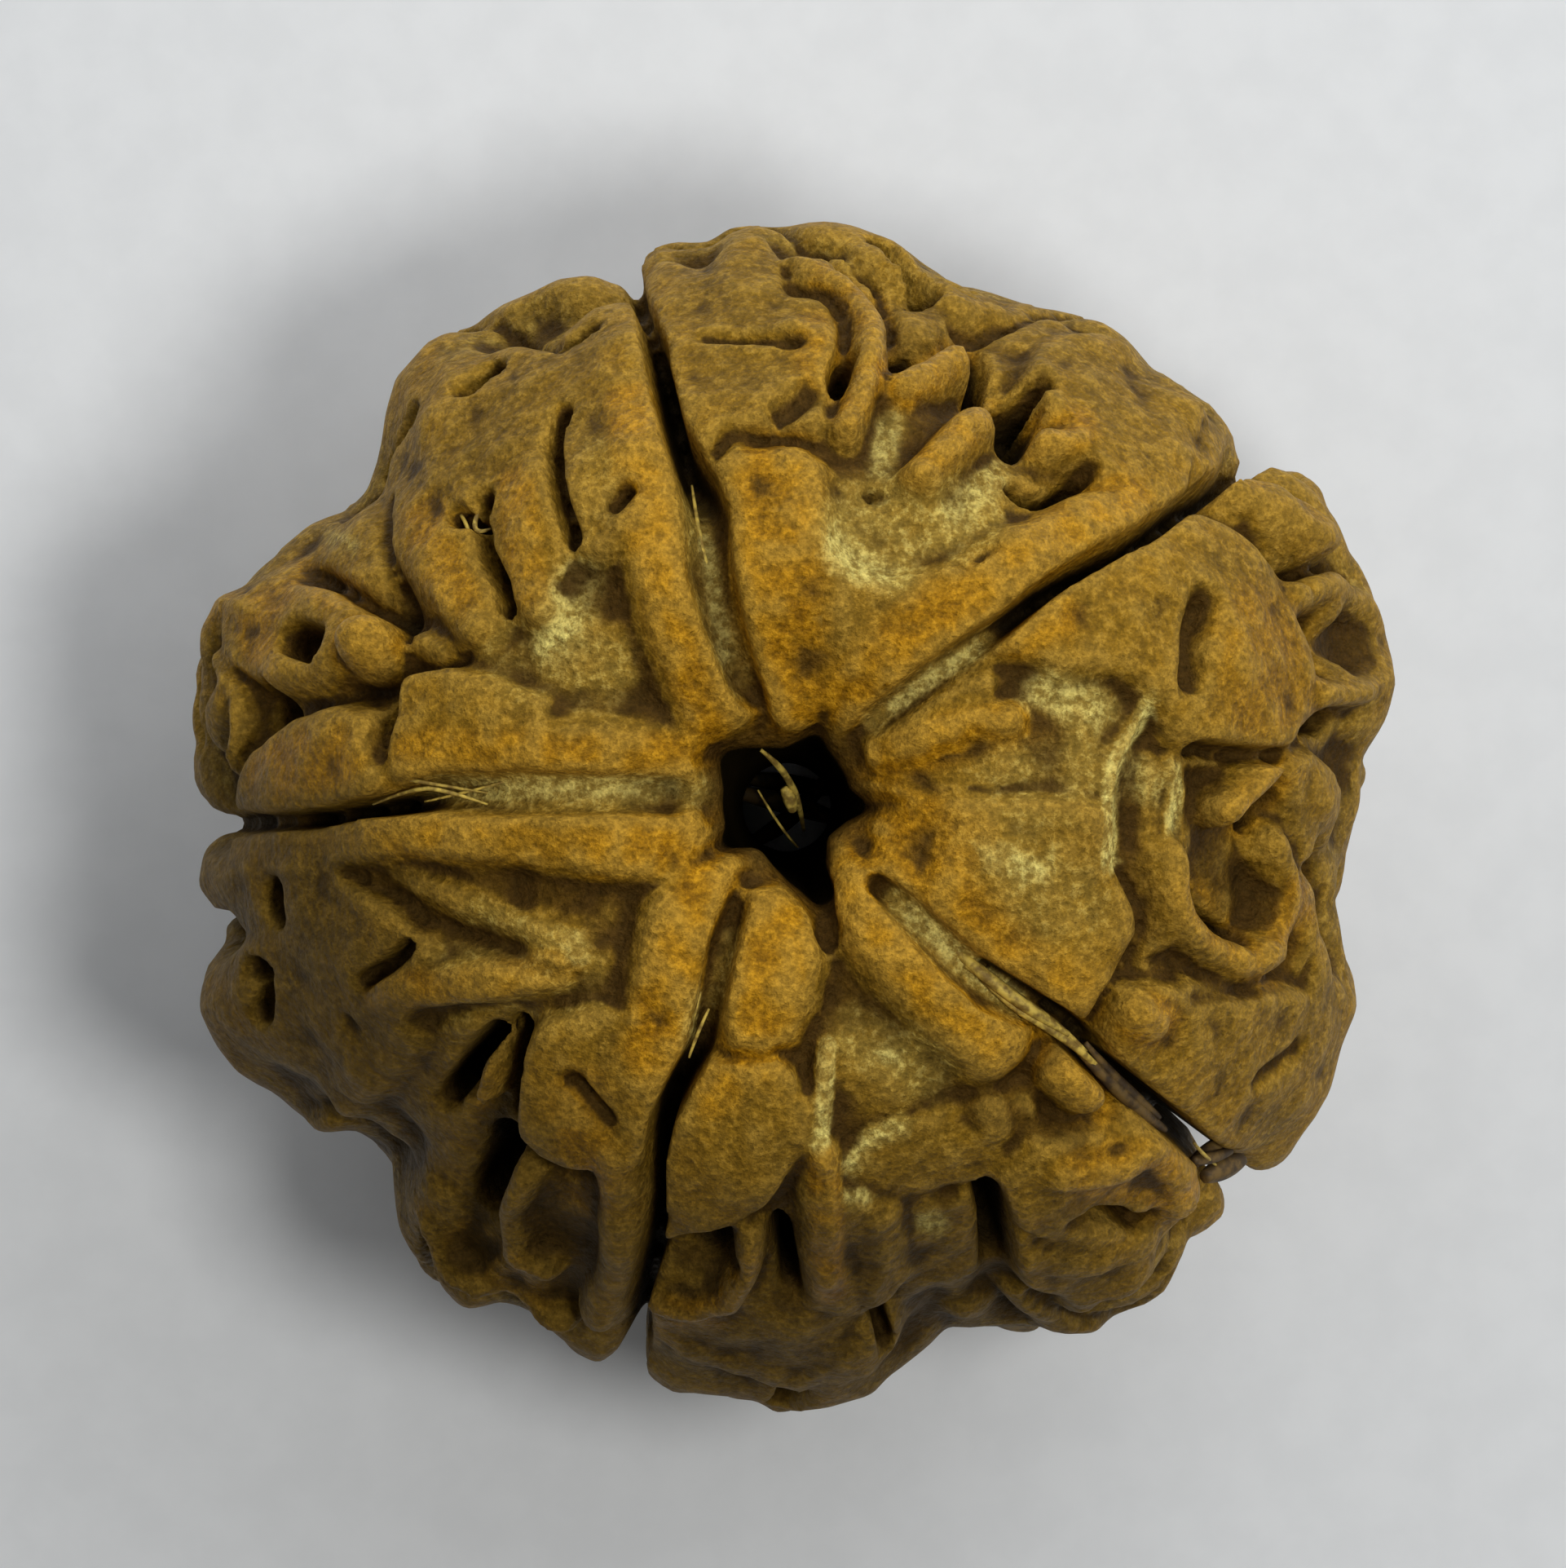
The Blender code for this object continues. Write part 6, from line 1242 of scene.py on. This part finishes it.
class Shader:
    """A material's node tree, written one node at a time."""

    def __init__(self, name):
        self.material = bpy.data.materials.new(name)
        self.material.use_nodes = True
        self.nodes = self.material.node_tree.nodes
        self.links = self.material.node_tree.links
        self.surface = self.nodes["Principled BSDF"]

    def put(self, socket, value):
        if isinstance(value, bpy.types.NodeSocket):
            self.links.new(value, socket)
        else:
            socket.default_value = value

    def place(self):
        """Place on the object, in millimetres."""
        coordinates = self.nodes.new("ShaderNodeTexCoord")
        scaled = self.nodes.new("ShaderNodeVectorMath")
        scaled.operation = "SCALE"
        self.put(scaled.inputs[0], coordinates.outputs["Object"])
        scaled.inputs["Scale"].default_value = 1.0 / MM
        return scaled.outputs[0]

    def attribute(self, name):
        node = self.nodes.new("ShaderNodeAttribute")
        node.attribute_name = name
        return node.outputs["Fac"]

    def noise(self, place, scale, detail=4.0, roughness=0.55, distortion=0.0):
        node = self.nodes.new("ShaderNodeTexNoise")
        self.put(node.inputs["Vector"], place)
        node.inputs["Scale"].default_value = scale
        node.inputs["Detail"].default_value = detail
        node.inputs["Roughness"].default_value = roughness
        node.inputs["Distortion"].default_value = distortion
        return node.outputs["Fac"]

    def pores(self, place, scale):
        """Nought at the middle of small scattered spots, rising away from them."""
        node = self.nodes.new("ShaderNodeTexVoronoi")
        self.put(node.inputs["Vector"], place)
        node.inputs["Scale"].default_value = scale
        return node.outputs["Distance"]

    def ramp(self, value, low, high, start=0.0, end=1.0):
        node = self.nodes.new("ShaderNodeMapRange")
        node.interpolation_type = "SMOOTHSTEP"
        self.put(node.inputs["Value"], value)
        node.inputs["From Min"].default_value = low
        node.inputs["From Max"].default_value = high
        node.inputs["To Min"].default_value = start
        node.inputs["To Max"].default_value = end
        return node.outputs["Result"]

    def math(self, operation, a, b):
        node = self.nodes.new("ShaderNodeMath")
        node.operation = operation
        self.put(node.inputs[0], a)
        self.put(node.inputs[1], b)
        return node.outputs[0]

    def mix(self, share, a, b, blend="MIX"):
        node = self.nodes.new("ShaderNodeMix")
        node.data_type = "RGBA"
        node.blend_type = blend
        self.put(node.inputs[0], share)
        self.put(node.inputs[6], a)
        self.put(node.inputs[7], b)
        return node.outputs[2]

    def bump(self, height, distance, strength, normal=None):
        node = self.nodes.new("ShaderNodeBump")
        self.put(node.inputs["Height"], height)
        node.inputs["Distance"].default_value = distance
        node.inputs["Strength"].default_value = strength
        if normal is not None:
            self.put(node.inputs["Normal"], normal)
        return node.outputs["Normal"]


def stone_material():
    """Waxy wood-like stone: ochre on worn ridges, dusty khaki on the flats and pale crust, with painted brown
    shade in hollows, painted shade in creases, pits and the bore and on the south side, and painted
    highlights on crowns and crisp edges.
    """
    shader = Shader("seed_stone")
    place = shader.place()
    cloud = shader.noise(place, 0.55, 3.0)
    mottle = shader.noise(place, 2.2, 5.0, 0.62)
    speckle = shader.noise(place, 7.5, 3.0, 0.6)
    grit = shader.noise(place, 16.0, 2.0, 0.5)
    fleck = shader.noise(place, 5.2, 6.0, 0.72)
    cells = shader.pores(place, 6.0)
    colour = shader.mix(shader.ramp(cloud, 0.36, 0.64), linear(KHAKI), linear(DUST))
    colour = shader.mix(shader.ramp(mottle, 0.46, 0.68, 0.0, 0.55), colour, linear(OLIVE))
    colour = shader.mix(shader.ramp(fleck, 0.5, 0.64, 0.0, 0.5), colour, linear(PALE_DUST_AND_EDGE_HIGHLIGHT))
    ochre = shader.attribute("ochre")
    worn = shader.math("MULTIPLY", ochre, shader.ramp(mottle, 0.28, 0.6, 0.6, 1.0))
    colour = shader.mix(worn, colour, linear(OCHRE))
    bright = shader.math("MULTIPLY", worn, shader.ramp(fleck, 0.5, 0.64, 0.0, 0.6))
    colour = shader.mix(bright, colour, linear(GOLD))
    brown = shader.math("MULTIPLY", worn, shader.ramp(fleck, 0.5, 0.36, 0.0, 0.5))
    colour = shader.mix(brown, colour, linear(BROWN))
    crust = shader.attribute("crust")
    pale = shader.math("MULTIPLY", crust, shader.ramp(mottle, 0.3, 0.6, 0.35, 1.0))
    colour = shader.mix(pale, colour, linear(CRUST))
    chalky = shader.math("MULTIPLY", pale, shader.ramp(fleck, 0.5, 0.62, 0.0, 0.45))
    colour = shader.mix(chalky, colour, linear(CHALK))
    chalk = shader.math("MULTIPLY", shader.attribute("chalk"), shader.ramp(fleck, 0.38, 0.58, 0.15, 1.0))
    colour = shader.mix(chalk, colour, linear(CHALK))
    # Painted highlight on the crowns, stronger on the worn ochre
    crown_highlight = shader.math("MULTIPLY", shader.attribute("crown_highlight"), shader.ramp(ochre, 0.0, 1.0, 0.25, 0.6))
    colour = shader.mix(crown_highlight, colour, linear(CROWN_HIGHLIGHT))
    # Painted shade in the hollows
    colour = shader.mix(shader.ramp(shader.attribute("hollow_shade"), 0.0, 1.0, 0.0, 0.82), colour, linear(HOLLOW_SHADE))
    # Painted highlight on crisp edges
    colour = shader.mix(shader.ramp(shader.attribute("edge_highlight"), 0.1, 1.0, 0.0, 0.55), colour, linear(PALE_DUST_AND_EDGE_HIGHLIGHT))
    # Painted shade in the creases
    colour = shader.mix(shader.ramp(shader.attribute("crease"), 0.05, 1.0, 0.0, 0.85), colour, linear(CREASE_SHADE))
    # Painted shade: the outer south and south-west side darkened
    colour = shader.mix(shader.ramp(shader.attribute("shade"), 0.0, 1.0, 0.0, 0.6), colour, linear(SOUTH_SIDE_SHADE))
    # Painted shade in pits and deep grooves
    colour = shader.mix(shader.ramp(shader.attribute("deep"), 0.1, 1.0, 0.0, 0.9), colour, linear(PIT_SHADE))
    # Painted shade in the mouth and down the wall of the bore
    colour = shader.mix(shader.ramp(shader.attribute("mouth"), 0.0, 1.0, 0.0, 0.85), colour, linear(CREASE_SHADE))
    colour = shader.mix(shader.ramp(shader.attribute("bore"), 0.0, 1.0, 0.0, 0.98), colour, linear(PIT_SHADE))
    blotch = shader.ramp(fleck, 0.36, 0.64, 0.66, 1.14)
    reticule = shader.ramp(cells, 0.05, 0.6, 0.86, 1.12)
    freckle = shader.math("MULTIPLY", shader.ramp(grit, 0.34, 0.66, 0.84, 1.14), blotch)
    freckle = shader.math("MULTIPLY", freckle, reticule)
    combined = shader.nodes.new("ShaderNodeCombineColor")
    for channel in range(3):
        shader.put(combined.inputs[channel], freckle)
    colour = shader.mix(1.0, colour, combined.outputs[0], "MULTIPLY")
    shader.put(shader.surface.inputs["Base Color"], colour)
    rough = shader.ramp(ochre, 0.0, 1.0, 0.62, 0.48)
    rough = shader.math("ADD", rough, shader.ramp(speckle, 0.3, 0.7, -0.05, 0.07))
    shader.put(shader.surface.inputs["Roughness"], rough)
    shader.surface.inputs["Specular IOR Level"].default_value = 0.3
    shader.surface.inputs["Specular Tint"].default_value = (1.0, 0.68, 0.22, 1.0)
    bumped = shader.bump(shader.noise(place, 2.6, 4.0), 0.00012, 0.6)
    bumped = shader.bump(fleck, 0.00007, 0.8, bumped)
    bumped = shader.bump(speckle, 0.00005, 0.7, bumped)
    bumped = shader.bump(cells, 0.00005, 0.5, bumped)
    shader.put(shader.surface.inputs["Normal"], bumped)
    return shader.material


def fibre_material():
    shader = Shader("dried_fibre")
    place = shader.place()
    streak = shader.noise(place, 5.0, 3.0)
    shader.put(shader.surface.inputs["Base Color"],
               shader.mix(shader.ramp(streak, 0.35, 0.65), linear(FIBRE_DARK), linear(FIBRE_PALE)))
    shader.surface.inputs["Roughness"].default_value = 0.7
    shader.put(shader.surface.inputs["Normal"], shader.bump(streak, 0.00003, 0.6))
    return shader.material


def shred_material():
    shader = Shader("dried_flesh")
    streak = shader.noise(shader.place(), 4.0, 3.0)
    shader.put(shader.surface.inputs["Base Color"],
               shader.mix(shader.ramp(streak, 0.35, 0.65), linear(SHRED_DARK), linear(SHRED_PALE)))
    shader.surface.inputs["Roughness"].default_value = 0.7
    return shader.material


def tube(name, thickness, points, material, shift):
    """A thin tapered tube through the points, set in the bead's place."""
    curve = bpy.data.curves.new(name, "CURVE")
    curve.dimensions = "3D"
    curve.bevel_depth = thickness / 2
    curve.bevel_resolution = 2
    curve.use_fill_caps = True
    spline = curve.splines.new("NURBS")
    spline.points.add(len(points) - 1)
    for i, (point, mark) in enumerate(zip(points, spline.points)):
        mark.co = (*point, 1.0)
        mark.radius = 1.0 if 0 < i < len(points) - 1 else 0.45
    spline.use_endpoint_u = True
    spline.order_u = 3
    holder = bpy.data.objects.new(name, curve)
    bpy.context.scene.collection.objects.link(holder)
    mesh = evaluated_mesh(holder)
    bpy.data.objects.remove(holder)
    work = bmesh.new()
    work.from_mesh(mesh)
    bmesh.ops.remove_doubles(work, verts=work.verts[:], dist=0.001)
    work.to_mesh(mesh)
    work.free()
    set_in_place(mesh, shift)
    mesh.polygons.foreach_set("use_smooth", [True] * len(mesh.polygons))
    mesh.materials.append(material)
    piece = bpy.data.objects.new(name, mesh)
    bpy.context.scene.collection.objects.link(piece)
    return piece


def below_skin(marks):
    """Points at given depths under the skin, from (x, y, depth) seen from above."""
    points = []
    for x, y, depth in marks:
        x, y, z = seen_from_above(x, y)
        points.append((x, y, z - depth))
    return points


def fibres(shift):
    """Dried fibres and shreds of the fruit's flesh in the grooves and across the bore; the dark shreds deep
    in the bore are painted shade.
    """
    pale = fibre_material()
    dark = shred_material()
    groups = [
        ("groove_fibre", FIBRES, pale, below_skin),
        ("flesh_shred", SHREDS, dark, below_skin),
        ("bore_fibre", BORE_FIBRES, pale, list),
        ("bore_shade_shred", BORE_SHADE_SHREDS, dark, list),
    ]
    pieces = []
    for name, strands, material, placed in groups:
        for i, (thickness, marks) in enumerate(strands):
            pieces.append(tube(f"{name}_{i + 1}", thickness, placed(marks), material, shift))
    return pieces


def floor():
    bpy.ops.mesh.primitive_plane_add(size=PAPER_SIZE, location=(0.0, 0.0, -PAPER_DROP))
    plane = bpy.context.object
    plane.name = "floor"
    shader = Shader("floor_paper")
    place = shader.place()
    tone = shader.ramp(shader.noise(place, 0.9, 3.0), 0.3, 0.7)
    shader.put(shader.surface.inputs["Base Color"], shader.mix(tone, *PAPER))
    shader.surface.inputs["Roughness"].default_value = 0.85
    shader.surface.inputs["Specular IOR Level"].default_value = 0.2
    plane.data.materials.append(shader.material)


def area_light(name, azimuth, elevation, size, power, colour):
    data = bpy.data.lights.new(name, "AREA")
    data.shape = "DISK"
    data.size = size * MM
    data.energy = power
    data.color = colour
    light = bpy.data.objects.new(name, data)
    bpy.context.scene.collection.objects.link(light)
    a, e = math.radians(azimuth), math.radians(elevation)
    towards = Vector((math.cos(e) * math.cos(a), math.cos(e) * math.sin(a), math.sin(e)))
    light.location = towards * LAMP_DISTANCE * MM + Vector((0, 0, LAMP_AIM * MM))
    light.rotation_euler = towards.to_track_quat("Z", "Y").to_euler()


def lights():
    for lamp in LAMPS:
        area_light(*lamp)
    world = bpy.data.worlds.new("even_sky")
    world.use_nodes = True
    world.node_tree.nodes["Background"].inputs["Color"].default_value = SKY_COLOUR
    world.node_tree.nodes["Background"].inputs["Strength"].default_value = SKY
    bpy.context.scene.world = world


def camera(shift):
    """Straight down over the photograph's middle, from far off."""
    data = bpy.data.cameras.new("camera")
    data.sensor_width = SENSOR
    data.lens = SENSOR * CAMERA_DISTANCE / VIEW_WIDTH
    data.clip_end = 10.0
    view = bpy.data.objects.new("camera", data)
    bpy.context.scene.collection.objects.link(view)
    x, y = VIEW_CENTRE[0] + shift[0], VIEW_CENTRE[1] + shift[1]
    view.location = (x * MM, y * MM, (CAMERA_DISTANCE + shift[2]) * MM)
    bpy.context.scene.camera = view


def build():
    bpy.context.scene.view_settings.view_transform = "Standard"
    bead, shift = fine_bead()
    bead.data.materials.clear()
    bead.data.materials.append(stone_material())
    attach(bead, "root")
    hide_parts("bead")
    for fibre in fibres(shift):
        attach(fibre, "root")
    floor()
    lights()
    camera(shift)


build()
